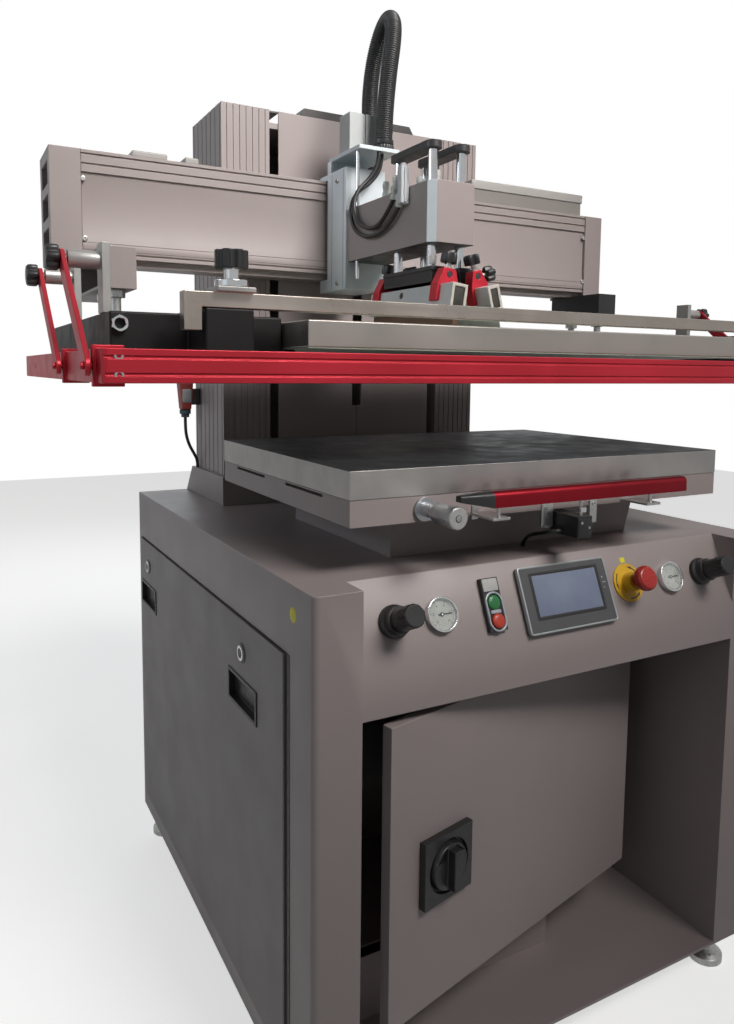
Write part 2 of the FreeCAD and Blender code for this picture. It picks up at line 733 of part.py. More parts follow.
for name, side in (("left_gauge_needle", -1), ("right_gauge_needle", 1)):
    bore = S.gauge_pin_radius + S.shaft_clearance
    needle_rise = (S.needle_foot, S.needle_foot + S.needle_thickness)
    centre = (side * S.gauge_x, S.gauge_up)
    pointer = join(bar("Z", centre, S.needle_hub_radius, *needle_rise),
                   block((centre[0] - S.needle_tail, centre[0] + S.needle_length),
                         middle(S.gauge_up, S.needle_width), needle_rise))
    needle = cut(pointer, bar("Z", centre, bore, S.gauge_dial, S.gauge_pin_top))
    node(name, on_panel(group(needle)))

for name, up, top in (("start_button", S.start_up, S.start_cap_top),
                      ("stop_button", S.stop_up, S.stop_cap_top)):
    cap = turned([(0, S.button_cap_foot), (S.button_cap_radius, S.button_cap_foot),
                  (S.button_cap_radius, top - S.button_cap_edge),
                  (S.button_cap_radius - S.button_cap_edge, top), (0, top)])
    place(cap, S.button_x, up)
    node(name, on_panel(group(cap)))

collar = turned([(S.stop_stem_radius + S.shaft_clearance, 0), (S.stop_disc_radius, 0),
                 (S.stop_disc_radius, S.stop_disc), (S.stop_hub_radius, S.stop_disc),
                 (S.stop_hub_radius, S.stop_hub_top),
                 (S.stop_stem_radius + S.shaft_clearance, S.stop_hub_top)])
place(collar, S.stop_x, S.stop_head_up)
node("emergency_stop_collar", on_panel(group(collar)))
mushroom = turned([(0, S.stop_stem_foot), (S.stop_stem_radius, S.stop_stem_foot),
                   (S.stop_stem_radius, S.stop_head_foot),
                   (S.stop_neck_radius, S.stop_head_foot),
                   (S.stop_head_radius, S.stop_head_foot + S.stop_stem_foot),
                   (S.stop_head_radius, S.stop_head_top - S.stop_stem_foot / 2),
                   (S.stop_head_radius - S.stop_stem_foot / 2, S.stop_head_top),
                   (0, S.stop_head_top)])
place(mushroom, S.stop_x, S.stop_head_up)
node("emergency_stop_head", on_panel(group(mushroom)))

# Pedestal: a hollow trapezoid of folded steel that lifts the printing table off the deck.
S.put(pedestal_foot_half=244.0, pedestal_top_left=-243.0, pedestal_top_right=265.0,
      pedestal_front=-340.0, pedestal_rear=20.0, pedestal_height=72.0, pedestal_wall=5.0)
carrier_foot = deck + S.pedestal_height
pedestal = new_body()
pad(pedestal, "XZ_Plane",
    [[(-S.pedestal_foot_half, deck), (S.pedestal_foot_half, deck),
      (S.pedestal_top_right, carrier_foot), (S.pedestal_top_left, carrier_foot)]],
    S.pedestal_front, S.pedestal_rear)
pocket(pedestal, "XZ_Plane",
       [rectangle((S.pedestal_top_left + S.pedestal_wall, S.pedestal_foot_half - S.pedestal_wall),
                  (deck - S.overrun, carrier_foot - S.pedestal_wall))],
       S.pedestal_front + S.pedestal_wall, S.pedestal_rear - S.pedestal_wall)
node("table_pedestal", pedestal)

# Table carrier: a folded tray with the touch bar's two guides and the switch bracket on its front.
S.put(carrier_half=361.0, carrier_front=-432.0, carrier_rear=85.0, carrier_height=37.0,
      carrier_wall=12.0, carrier_floor=6.0, slot_height=4.0, slot_foot=30.0,
      front_slot_from=-347.0, front_slot_to=-211.0, rear_slot_from=-121.0, rear_slot_to=14.0,
      guide_x=150.0, guide_y=-480.0, guide_shelf_width=30.0, guide_shelf_front=-488.0,
      guide_shelf_foot=3.0, guide_shelf_thickness=4.0, guide_pin_radius=3.0, guide_pin_top=915.0,
      bracket_left=-26.0, bracket_right=60.0, bracket_rear=-421.0, bracket_thickness=3.0,
      bracket_drop=30.0,
      micrometer_x=-244.0, micrometer_height=900.0, spindle_radius=3.2,
      spindle_clearance=0.1)
carrier_top = carrier_foot + S.carrier_height
tray_floor = carrier_foot + S.carrier_floor
carrier_pan = new_body()
pad(carrier_pan, "XY_Plane",
    [rectangle((-S.carrier_half, S.carrier_half), (S.carrier_front, S.carrier_rear))],
    carrier_foot, carrier_top)
pocket(carrier_pan, "XY_Plane",
       [rectangle((S.carrier_wall - S.carrier_half, S.carrier_half - S.carrier_wall),
                  (S.carrier_front + S.carrier_wall, S.carrier_rear - S.carrier_wall))],
       tray_floor, carrier_top + S.overrun)
pocket(carrier_pan, "YZ_Plane",
       [rectangle(span, (carrier_foot + S.slot_foot, carrier_foot + S.slot_foot + S.slot_height))
        for span in ((S.front_slot_from, S.front_slot_to), (S.rear_slot_from, S.rear_slot_to))],
       -S.carrier_half - S.overrun, S.carrier_half + S.overrun)
shelf_foot = carrier_foot + S.guide_shelf_foot
shelf_top = shelf_foot + S.guide_shelf_thickness
carrier_pieces = [
    carrier_pan,
    block((S.bracket_left, S.bracket_right),
          (S.bracket_rear - S.bracket_thickness, S.bracket_rear),
          (carrier_foot - S.bracket_drop, carrier_foot))]
for side in (-1, 1):
    guide_x = side * S.guide_x
    carrier_pieces.append(block(middle(guide_x, S.guide_shelf_width),
                                (S.guide_shelf_front, S.carrier_front),
                                (shelf_foot, shelf_top)))
    carrier_pieces.append(bar("Z", (guide_x, S.guide_y), S.guide_pin_radius,
                              shelf_foot, S.guide_pin_top))
spindle_bore = bar("Y", (S.micrometer_x, S.micrometer_height),
                   S.spindle_radius + S.spindle_clearance,
                   S.carrier_front - S.overrun, S.carrier_front + S.carrier_wall + S.overrun)
node("table_carrier", cut(join(*carrier_pieces), spindle_bore))

# Printing table: a ground plate on the carrier, with the lug that the micrometer spindle meets.
S.put(table_half=362.0, table_front=-433.0, table_rear=87.0, table_thickness=39.7,
      table_corner_radius=3.0, lug_width=20.0, lug_front=-408.0, lug_rear=-396.0, lug_foot=893.0)
table_foot = carrier_top + S.running_gap
table_plate = new_body()
pad(table_plate, "XY_Plane",
    [rectangle((-S.table_half, S.table_half), (S.table_front, S.table_rear))],
    table_foot, table_foot + S.table_thickness)
round_edges(table_plate, S.table_corner_radius,
            lambda a, b: near(a.x, b.x) and near(a.y, b.y) and not near(a.z, b.z))
table_lug = block(middle(S.micrometer_x, S.lug_width), (S.lug_front, S.lug_rear),
                  (S.lug_foot, table_foot + S.overrun))
node("table_top", join(table_plate, table_lug))

# Micrometer that feeds the table: a flanged sleeve on the carrier and a thimble with its spindle.
S.put(sleeve_flange_radius=17.0, sleeve_flange=5.0, sleeve_radius=10.0, sleeve_front=-475.0,
      thimble_mouth=-463.0, thimble_end=-516.0, thimble_floor=-500.0,
      thimble_mouth_radius=12.0, thimble_grip_radius=15.0, thimble_neck=-472.0)
micrometer_centre = (S.micrometer_x, S.micrometer_height)
sleeve = cut(join(bar("Y", micrometer_centre, S.sleeve_flange_radius,
                      S.carrier_front - S.sleeve_flange, S.carrier_front),
                  bar("Y", micrometer_centre, S.sleeve_radius, S.sleeve_front, S.carrier_front)),
             bar("Y", micrometer_centre, S.spindle_radius + S.spindle_clearance,
                 S.sleeve_front - S.overrun, S.carrier_front + S.overrun))
node("micrometer_sleeve", sleeve)
thimble = cut(join(bar("Y", micrometer_centre, S.thimble_grip_radius,
                       S.thimble_end, S.thimble_neck),
                   taper("Y", micrometer_centre, S.thimble_grip_radius, S.thimble_mouth_radius,
                         S.thimble_neck, S.thimble_mouth)),
              bar("Y", micrometer_centre, S.sleeve_radius + S.shaft_clearance,
                  S.thimble_floor, S.thimble_mouth + S.overrun))
spindle = bar("Y", micrometer_centre, S.spindle_radius,
              S.thimble_floor, S.lug_front - S.running_gap)
node("micrometer_thimble", join(thimble, spindle))

# Touch bar that starts a stroke: a rounded rail on two guide pins, over a plunger switch.
S.put(touch_left=-218.0, touch_right=219.0, touch_front=-492.0, touch_rear=-468.0,
      touch_foot=904.0, touch_top=927.0, touch_radius=8.0, touch_travel=4.0,
      plunger_x=8.0, plunger_y=-476.0, plunger_radius=3.0, plunger_foot=870.0,
      switch_left=-6.0, switch_right=22.0, switch_front=-486.0, switch_foot=845.0,
      switch_top=878.0, switch_well=865.0)
touch_rail = new_body()
pad(touch_rail, "YZ_Plane",
    [rectangle((S.touch_front, S.touch_rear), (S.touch_foot, S.touch_top))],
    S.touch_left, S.touch_right)
round_edges(touch_rail, S.touch_radius,
            lambda a, b: near(a.z, S.touch_top) and near(b.z, S.touch_top) and near(a.y, b.y))
guide_bores = [bar("Z", (side * S.guide_x, S.guide_y), S.guide_pin_radius + S.shaft_clearance,
                   S.touch_foot - S.overrun, S.guide_pin_top + S.touch_travel + S.running_gap)
               for side in (-1, 1)]
plunger = bar("Z", (S.plunger_x, S.plunger_y), S.plunger_radius,
              S.plunger_foot, S.touch_foot + S.running_gap)
node("touch_bar", cut(join(touch_rail, plunger), *guide_bores))

# Limit switch under the touch bar, hung from the carrier's bracket plate.
switch_case = new_body()
pad(switch_case, "XY_Plane",
    [rectangle((S.switch_left, S.switch_right),
               (S.switch_front, S.bracket_rear - S.bracket_thickness))],
    S.switch_foot, S.switch_top)
pocket(switch_case, "XY_Plane",
       [(S.plunger_x, S.plunger_y, S.plunger_radius + S.shaft_clearance)],
       S.switch_well, S.switch_top + S.overrun)
node("switch_box", switch_case)

# Tower: a bevelled plinth on the deck with the lower bearing of the lift screw.
S.put(plinth_half=324.0, plinth_front=210.0, plinth_top_rear=432.0, plinth_rear=478.0,
      plinth_height=60.0, plinth_rear_lip=2.0,
      screw_y=330.0, screw_radius=12.5, screw_foot=10.0, bearing_half=30.0,
      bearing_height=25.0, screw_clearance=0.1)
plinth_top = deck + S.plinth_height
plinth = prism("YZ_Plane",
               [[(S.plinth_front, deck), (S.plinth_front, plinth_top),
                 (S.plinth_top_rear, plinth_top), (S.plinth_rear, deck + S.plinth_rear_lip),
                 (S.plinth_rear, deck)]],
               -S.plinth_half, S.plinth_half)
bearing = cut(block((-S.bearing_half, S.bearing_half),
                    middle(S.screw_y, S.bearing_half * 2),
                    (plinth_top, plinth_top + S.bearing_height)),
              bar("Z", (0, S.screw_y), S.screw_radius + S.screw_clearance,
                  plinth_top + S.screw_foot - S.running_gap,
                  plinth_top + S.bearing_height + S.overrun))
node("tower_plinth", group(plinth, bearing))

# Two hollow fluted posts, each with the guide rail that the lift carriage runs on.
S.put(post_inside=210.0, post_outside=313.5, post_front=233.0, post_rear=432.0,
      tower_top=1626.0, post_wall=8.0, flute_width=3.0, flute_depth=2.0, flute_inset=9.0,
      flute_count=7, rail_width=15.0, rail_front=300.0, rail_rear=320.0)
post_width = S.post_outside - S.post_inside
post_depth = S.post_rear - S.post_front
post = new_body()
pad(post, "XY_Plane", [rectangle((S.post_inside, S.post_outside), (S.post_front, S.post_rear))],
    plinth_top, S.tower_top)
pocket(post, "XY_Plane",
       [rectangle((S.post_inside + S.post_wall, S.post_outside - S.post_wall),
                  (S.post_front + S.post_wall, S.post_rear - S.post_wall))],
       plinth_top - S.overrun, S.tower_top - S.post_wall)
front_flute = pocket(post, "XY_Plane",
                     [rectangle((S.post_inside + S.flute_inset,
                                 S.post_inside + S.flute_inset + S.flute_width),
                                (S.post_front - S.overrun, S.post_front + S.flute_depth))],
                     plinth_top - S.overrun, S.tower_top + S.overrun)
repeat_pocket(post, front_flute, "H_Axis",
              post_width - S.flute_inset * 2 - S.flute_width, int(S.flute_count.number))
side_flute = pocket(post, "XY_Plane",
                    [rectangle((S.post_outside - S.flute_depth, S.post_outside + S.overrun),
                               (S.post_front + S.flute_inset,
                                S.post_front + S.flute_inset + S.flute_width))],
                    plinth_top - S.overrun, S.tower_top + S.overrun)
repeat_pocket(post, side_flute, "V_Axis",
              post_depth - S.flute_inset * 2 - S.flute_width, int(S.flute_count.number))
rail = block((S.post_inside - S.rail_width, S.post_inside), (S.rail_front, S.rail_rear),
             (plinth_top, S.tower_top))
node("tower_posts", group(post, rail, mirrored(post), mirrored(rail)))

# Tower covers: two front halves that leave slots for the lift arms, a rear sheet and a dark lid.
S.put(front_cover_half=189.0, front_cover_split=1.5, front_cover_front=236.0,
      front_cover_sheet=3.0, notch_half=11.5, notch_foot=1014.0, notch_top=1400.0,
      rear_cover_front=428.0, rear_cover_sheet=3.0, rear_cover_gap=1.0, lid_half=140.0,
      lid_height=16.0, lid_chamfer=10.0, top_bearing_foot=1590.0, top_bearing_thickness=12.0)
front_cover_rear = S.front_cover_front + S.front_cover_sheet
front_cover = prism("XZ_Plane",
                    [[(S.front_cover_split / 2, plinth_top), (S.front_cover_half, plinth_top),
                      (S.front_cover_half, S.tower_top), (S.front_cover_split / 2, S.tower_top),
                      (S.front_cover_split / 2, S.notch_top), (S.notch_half, S.notch_top),
                      (S.notch_half, S.notch_foot), (S.front_cover_split / 2, S.notch_foot)]],
                    S.front_cover_front, front_cover_rear)
rear_cover = block((S.rear_cover_gap - S.post_inside, S.post_inside - S.rear_cover_gap),
                   (S.rear_cover_front, S.rear_cover_front + S.rear_cover_sheet),
                   (plinth_top, S.tower_top))
lid_top = S.tower_top + S.lid_height
lid = prism("XZ_Plane",
            [[(-S.lid_half, S.tower_top), (S.lid_half, S.tower_top),
              (S.lid_half - S.lid_chamfer, lid_top), (S.lid_chamfer - S.lid_half, lid_top)]],
            S.front_cover_front, S.rear_cover_front + S.rear_cover_sheet)
top_bearing = cut(block((S.rear_cover_gap - S.post_inside, S.post_inside - S.rear_cover_gap),
                        (front_cover_rear, S.rear_cover_front),
                        (S.top_bearing_foot, S.top_bearing_foot + S.top_bearing_thickness)),
                  bar("Z", (0, S.screw_y), S.screw_radius + S.screw_clearance,
                      S.top_bearing_foot - S.overrun,
                      S.top_bearing_foot + S.top_bearing_thickness + S.overrun),
                  *[block(middle(side * (S.post_inside - S.rail_width / 2),
                                 S.rail_width + S.rear_cover_gap * 2),
                          (S.rail_front - S.rear_cover_gap, S.rail_rear + S.rear_cover_gap),
                          (S.top_bearing_foot - S.overrun, S.tower_top))
                    for side in (-1, 1)])
node("tower_covers", group(both_hands(front_cover), rear_cover, lid, top_bearing))

# Pendant connector on the tower's flank.
S.put(connector_out=361.0, connector_width=30.0, connector_y=405.0, connector_depth=30.0,
      connector_foot=1002.0, connector_top=1060.0, connector_taper=5.0,
      gland_radius=9.0, gland_length=18.0, connector_arm_width=20.0, connector_arm_foot=1012.0,
      connector_arm_top=1048.0, connector_cable_radius=3.5)
connector_inner = S.connector_width - S.connector_out
connector_body = prism("XZ_Plane",
                       [[(S.connector_taper - S.connector_out, S.connector_foot),
                         (connector_inner - S.connector_taper, S.connector_foot),
                         (connector_inner, S.connector_top),
                         (-S.connector_out, S.connector_top)]],
                       *middle(S.connector_y, S.connector_depth))
connector_x = S.connector_width / 2 - S.connector_out
connector_arm = block((connector_x, -S.post_outside),
                      middle(S.connector_y, S.connector_arm_width),
                      (S.connector_arm_foot, S.connector_arm_top))
connector_gland = bar("Z", (connector_x, S.connector_y), S.gland_radius,
                      S.connector_foot - S.gland_length, S.connector_foot)
node("side_connector", join(connector_body, connector_arm, connector_gland))

# Cables that the press holds all the way, drawn through points chosen along their routes.
S.put(switch_cable_y=-452.0, switch_cable_height=852.0, switch_cable_end=798.0,
      connector_cable_end_x=-319.0)
SWITCH_CABLE_ROUTE = [(-15.0, -452.0, 852.0), (-22.0, -445.0, 851.0), (-24.0, -430.0, 845.0),
                      (-23.0, -413.0, 841.0), (-19.0, -396.0, 836.0), (-12.5, -380.0, 829.5),
                      (-7.5, -367.5, 821.0), (-5.3, -359.0, 811.0)]
switch_cable = tube([(S.switch_left, S.switch_cable_y, S.switch_cable_height)]
                    + SWITCH_CABLE_ROUTE
                    + [(S.deck_hole_x, S.deck_hole_y, S.switch_cable_end)],
                    S.switch_cable_radius)
CONNECTOR_CABLE_ROUTE = [(-346.0, 405.0, 966.0), (-344.5, 405.5, 944.0), (-338.0, 405.0, 921.0),
                         (-327.0, 404.5, 901.0), (-319.0, 405.0, 886.0)]
connector_cable = tube([(connector_x, S.connector_y, S.connector_foot - S.gland_length)]
                       + CONNECTOR_CABLE_ROUTE
                       + [(S.connector_cable_end_x, S.connector_y, plinth_top)],
                       S.connector_cable_radius)
node("control_cables", group(switch_cable, connector_cable))

# Lift carriage in the tower: a plate with a nut, two rail blocks and two arms to the beam.
S.put(carriage_front=300.0, carriage_rear=320.0, lift_plate_half=165.0, lift_plate_foot=1300.0,
      lift_plate_top=1440.0, lift_block_outside=207.0, lift_block_front=292.0,
      lift_block_rear=328.0, arm_inside=192.0, arm_outside=208.0, arm_foot=1290.0,
      arm_top=1460.0, nut_radius=25.0, nut_foot=1340.0, nut_top=1400.0,
      screw_top=1600.0, beam_rear=225.0)
lift_rise = (S.lift_plate_foot, S.lift_plate_top)
lift_plate = block((-S.lift_plate_half, S.lift_plate_half),
                   (S.carriage_front, S.carriage_rear), lift_rise)
lift_nut = join(bar("Z", (0, S.screw_y), S.nut_radius, S.nut_foot, S.nut_top), lift_plate)
lift_pieces = [lift_nut]
rail_slots = []
for side in (-1, 1):
    lift_pieces.append(block(middle(side * (S.lift_plate_half + S.lift_block_outside) / 2,
                                    S.lift_block_outside - S.lift_plate_half),
                             (S.lift_block_front, S.lift_block_rear), lift_rise))
    lift_pieces.append(block(middle(side * (S.arm_inside + S.arm_outside) / 2,
                                    S.arm_outside - S.arm_inside),
                             (S.beam_rear, S.lift_block_front), (S.arm_foot, S.arm_top)))
    rail_slots.append(block(middle(side * S.post_inside,
                                   S.rail_width * 2 + S.running_gap * 2),
                            (S.rail_front - S.running_gap, S.rail_rear + S.running_gap),
                            (S.lift_plate_foot - S.overrun, S.lift_plate_top + S.overrun)))
node("lift_carriage",
     cut(join(*lift_pieces), *rail_slots,
         bar("Z", (0, S.screw_y), S.screw_radius + S.screw_clearance,
             S.arm_foot, S.arm_top)))
node("lift_screw", group(bar("Z", (0, S.screw_y), S.screw_radius,
                             plinth_top + S.screw_foot, S.screw_top)))

# Beam: an extruded cross beam with three grooves and a broad channel along its front.
S.put(beam_half=596.0, beam_front=159.0, beam_foot=1279.0, beam_top=1478.0,
      groove_width=3.0, groove_depth=3.0, upper_groove=1469.0, second_groove=1452.0,
      channel_top=1439.0, channel_foot=1330.0, channel_depth=4.0, ledge_foot=1315.0,
      lower_groove=1297.0, foot_lip=12.0, foot_setback=14.0)


def groove(height):
    """The four corners of one groove in the beam's front face, read upwards."""
    inside = S.beam_front + S.groove_depth
    return [(S.beam_front, height), (inside, height),
            (inside, height + S.groove_width), (S.beam_front, height + S.groove_width)]


channel_face = S.beam_front + S.channel_depth
foot_face = S.beam_front + S.foot_setback
beam_outline = ([(foot_face, S.beam_foot), (foot_face, S.beam_foot + S.foot_lip),
                 (S.beam_front, S.beam_foot + S.foot_lip)]
                + groove(S.lower_groove)
                + [(S.beam_front, S.ledge_foot), (channel_face, S.channel_foot),
                   (channel_face, S.channel_top), (S.beam_front, S.channel_top)]
                + groove(S.second_groove) + groove(S.upper_groove)
                + [(S.beam_front, S.beam_top), (S.beam_rear, S.beam_top),
                   (S.beam_rear, S.beam_foot)])
node("beam", prism("YZ_Plane", [beam_outline], -S.beam_half, S.beam_half))

# End caps of the beam, deeper than it, with open pockets on the outside.
S.put(cap_outside=650.0, cap_front=157.0, cap_rear=279.0, cap_pocket_height=40.0,
      cap_pocket_pitch=58.0, cap_pocket_width=80.0, cap_pocket_depth=30.0)
cap_middle = (S.beam_foot + S.beam_top) / 2
cap = new_body()
pad(cap, "YZ_Plane", [rectangle((S.cap_front, S.cap_rear), (S.beam_foot, S.beam_top))],
    S.beam_half, S.cap_outside)
pocket(cap, "YZ_Plane",
       [rectangle(middle((S.cap_front + S.cap_rear) / 2, S.cap_pocket_width),
                  middle(cap_middle + step * S.cap_pocket_pitch, S.cap_pocket_height))
        for step in (-1, 0, 1)],
       S.cap_outside - S.cap_pocket_depth, S.cap_outside + S.overrun)
node("beam_end_caps", both_hands(cap))

# Cable tray on the beam's back edge, and two small service caps.
S.put(tray_left=275.0, tray_right=610.0, tray_front=190.0, tray_height=48.0, tray_wall=2.5,
      tray_lid=9.0, tray_lid_overhang=4.0, service_cap_height=12.0,
      first_cap_left=-505.0, first_cap_right=-440.0, second_cap_left=-407.0,
      second_cap_right=-380.0, service_cap_front=165.0, service_cap_rear=215.0)
tray_top = S.beam_top + S.tray_height
tray_box = cut(block((S.tray_left, S.tray_right), (S.tray_front, S.beam_rear),
                     (S.beam_top, tray_top)),
               block((S.tray_left + S.tray_wall, S.tray_right - S.tray_wall),
                     (S.tray_front + S.tray_wall, S.beam_rear - S.tray_wall),
                     (S.beam_top + S.tray_wall, tray_top)))
tray_cover = block((S.tray_left - S.tray_lid_overhang, S.tray_right + S.tray_lid_overhang),
                   (S.tray_front - S.tray_lid_overhang / 2, S.beam_rear + S.tray_lid_overhang),
                   (tray_top, tray_top + S.tray_lid))
service_caps = [block(span, (S.service_cap_front, S.service_cap_rear),
                      (S.beam_top, S.beam_top + S.service_cap_height))
                for span in ((S.first_cap_left, S.first_cap_right),
                             (S.second_cap_left, S.second_cap_right))]
node("cable_tray", group(tray_box, tray_cover, *service_caps))

# Arm brackets: an open box under each end of the beam that carries a frame arm, the left one
# longer, and two upright pivot plates on each arm with the pins and knobs of the guard's levers.
S.put(bracket_inside=555.5, bracket_outside=609.5, left_bracket_front=-80.0,
      right_bracket_front=60.0, arm_bracket_foot=1215.0, arm_bracket_wall=5.0,
      frame_arm_outside=655.0, frame_arm_top=1160.0, pivot_plate_thickness=10.0,
      pivot_plate_width=32.0, pivot_plate_top=1245.0, pivot_boss_radius=11.0,
      pivot_boss_end=693.0, front_pivot_y=-325.0, rear_pivot_y=-107.0, pivot_height=1224.0,
      pivot_pin_radius=5.0, lever_inside=696.0, lever_thickness=6.0, pivot_knob_radius=12.0,
      pivot_knob_depth=16.0, pivot_knob_gap=0.5)


def bracket_box(side, front):
    """One open box, from its hand and its front end."""
    wall = S.arm_bracket_wall
    box = new_body()
    pad(box, "YZ_Plane",
        [rectangle((front, S.beam_rear), (S.arm_bracket_foot, S.beam_foot))],
        *middle(side * (S.bracket_inside + S.bracket_outside) / 2,
                S.bracket_outside - S.bracket_inside))
    pocket(box, "YZ_Plane",
           [rectangle((front + wall, S.beam_rear - wall),
                      (S.arm_bracket_foot + wall, S.beam_foot - wall))],
           *middle(side * (S.bracket_inside + wall + S.bracket_outside + S.overrun) / 2,
                   S.bracket_outside + S.overrun - S.bracket_inside - wall))
    return box


lever_outside = S.lever_inside + S.lever_thickness
pivots = []
for pivot_y in (S.front_pivot_y, S.rear_pivot_y):
    pivots.append(join(block((S.frame_arm_outside - S.pivot_plate_thickness,
                              S.frame_arm_outside),
                             middle(pivot_y, S.pivot_plate_width),
                             (S.frame_arm_top, S.pivot_plate_top)),
                       bar("X", (pivot_y, S.pivot_height), S.pivot_boss_radius,
                           S.frame_arm_outside, S.pivot_boss_end),
                       bar("X", (pivot_y, S.pivot_height), S.pivot_pin_radius,
                           S.frame_arm_outside, lever_outside + S.pivot_knob_depth),
                       bar("X", (pivot_y, S.pivot_height), S.pivot_knob_radius,
                           lever_outside + S.pivot_knob_gap,
                           lever_outside + S.pivot_knob_depth)))
node("arm_brackets", group(bracket_box(-1, S.left_bracket_front),
                           bracket_box(1, S.right_bracket_front),
                           *[both_hands(item) for item in pivots]))

# Height adjusters: two threaded studs with nuts between each arm bracket and its frame arm.
S.put(adjuster_x=582.0, left_adjuster_front=-50.0, left_adjuster_rear=30.0,
      right_adjuster_front=90.0, right_adjuster_rear=180.0, adjuster_radius=8.0,
      adjuster_nut_radius=15.0, adjuster_nut=12.0)
adjusters = []
for side, adjuster_y in ((-1, S.left_adjuster_front), (-1, S.left_adjuster_rear),
                         (1, S.right_adjuster_front), (1, S.right_adjuster_rear)):
    centre = (side * S.adjuster_x, adjuster_y)
    adjusters.append(join(bar("Z", centre, S.adjuster_radius, S.frame_arm_top,
                              S.arm_bracket_foot),
                          hexagon("Z", centre, S.adjuster_nut_radius,
                                  S.arm_bracket_foot - S.adjuster_nut, S.arm_bracket_foot),
                          hexagon("Z", centre, S.adjuster_nut_radius, S.frame_arm_top,
                                  S.frame_arm_top + S.adjuster_nut)))
node("height_adjusters", group(*adjusters))

# Frame arms: black cast arms at each side whose inner ledges carry the screen frame.
S.put(frame_arm_inside=560.0, frame_arm_front=-380.0, frame_arm_rear=140.0,
      right_arm_rear=210.0, frame_arm_foot=1109.0, frame_block_inside=436.0,
      frame_lip_inside=416.0, frame_lip_top=1119.0, frame_block_length=70.0,
      tongue_front=-450.0, tongue_inside=500.0, tongue_top=1164.0, rail_front_y=-450.0,
      cross_rail_width=20.0, cross_rail_rear_y=110.0, frame_half=434.0, frame_front=-460.0,
      frame_rear=140.0, frame_height=34.0, frame_tube=36.0,
      mesh_thickness=1.0)
arm_pieces = [
    block((S.frame_arm_inside, S.frame_arm_outside), (S.frame_arm_front, S.frame_arm_rear),
          (S.frame_arm_foot, S.frame_arm_top)),
    block((S.tongue_inside, S.frame_arm_inside), (S.tongue_front, S.frame_arm_front),
          (S.frame_arm_foot, S.tongue_top)),
    block((S.tongue_inside, S.frame_arm_inside),
          (S.frame_arm_front, S.frame_arm_front + S.frame_block_length),
          (S.frame_arm_foot, S.tongue_top))]
for block_front in (S.frame_arm_front, S.frame_arm_rear - S.frame_block_length):
    span = (block_front, block_front + S.frame_block_length)
    arm_pieces.append(block((S.frame_block_inside, S.frame_arm_inside), span,
                            (S.frame_arm_foot, S.frame_arm_top)))
    arm_pieces.append(block((S.frame_lip_inside, S.frame_block_inside), span,
                            (S.frame_arm_foot, S.frame_lip_top)))
arm_tail = block((S.frame_arm_inside, S.frame_arm_outside), (S.frame_arm_rear, S.right_arm_rear),
                 (S.frame_arm_foot, S.frame_arm_top))
node("side_arms", group(mirrored(join(*arm_pieces)), join(*arm_pieces, arm_tail)))

# Cross rails: two stainless bars over the frame, turned down at their ends.
S.put(cross_rail_half=585.0, cross_rail_thickness=18.0, rail_leg=21.0, rail_leg_drop=27.0,
      clamp_plate=47.0, clamp_plate_thickness=6.0, star_x=525.0)
rail_rise = (S.tongue_top, S.tongue_top + S.cross_rail_thickness)


def cross_rail(front_y, leg_foot):
    """A rail with its two end legs, from its front face and the level its legs reach."""
    inner = S.cross_rail_half - S.rail_leg
    return prism("XZ_Plane",
                 [[(-S.cross_rail_half, leg_foot), (-inner, leg_foot), (-inner, rail_rise[0]),
                   (inner, rail_rise[0]), (inner, leg_foot), (S.cross_rail_half, leg_foot),
                   (S.cross_rail_half, rail_rise[1]), (-S.cross_rail_half, rail_rise[1])]],
                 front_y, front_y + S.cross_rail_width)


star_y = S.rail_front_y + S.cross_rail_width / 2
S.put(star_stud_radius=5.0)
front_rail = cross_rail(S.rail_front_y, rail_rise[0] - S.rail_leg_drop)
clamp_top = rail_rise[1] + S.clamp_plate_thickness
clamp_plates = [block(middle(side * S.star_x, S.clamp_plate),
                      (S.rail_front_y - S.clamp_plate / 4,
                       S.rail_front_y + S.clamp_plate * 3 / 4),
                      (rail_rise[1], clamp_top)) for side in (-1, 1)]
stud_bores = [bar("Z", (side * S.star_x, star_y), S.star_stud_radius + S.shaft_clearance,
                  rail_rise[0] - S.overrun, clamp_top + S.overrun) for side in (-1, 1)]
node("cross_rails", group(cut(join(front_rail, *clamp_plates), *stud_bores),
                          cross_rail(S.cross_rail_rear_y, S.frame_arm_top)))

# Star knobs that clamp the front rail.
S.put(star_flange_radius=20.0, star_flange=9.0, star_neck_radius=9.0, star_head_foot=22.0,
      star_head_top=44.0, star_radius=20.0, star_notch_radius=5.0, star_notch_count=7)
for name, side in (("left_star_knob", -1), ("right_star_knob", 1)):
    star = turned([(0, -(S.clamp_plate_thickness + S.cross_rail_thickness)),
                   (S.star_stud_radius, -(S.clamp_plate_thickness + S.cross_rail_thickness)),
                   (S.star_stud_radius, S.running_gap), (S.star_flange_radius, S.running_gap),
                   (S.star_flange_radius, S.star_flange), (S.star_neck_radius, S.star_flange),
                   (S.star_neck_radius, S.star_head_foot), (S.star_radius, S.star_head_foot),
                   (S.star_radius, S.star_head_top), (0, S.star_head_top)])
    notch = pocket(star, "XY_Plane",
                   [(S.star_radius + S.star_notch_radius / 4, 0, S.star_notch_radius)],
                   S.star_head_foot - S.running_gap, S.star_head_top + S.overrun)
    ring_pocket(star, notch, int(S.star_notch_count.number))
    node(name, group(place(star, side * S.star_x, star_y, clamp_top)))

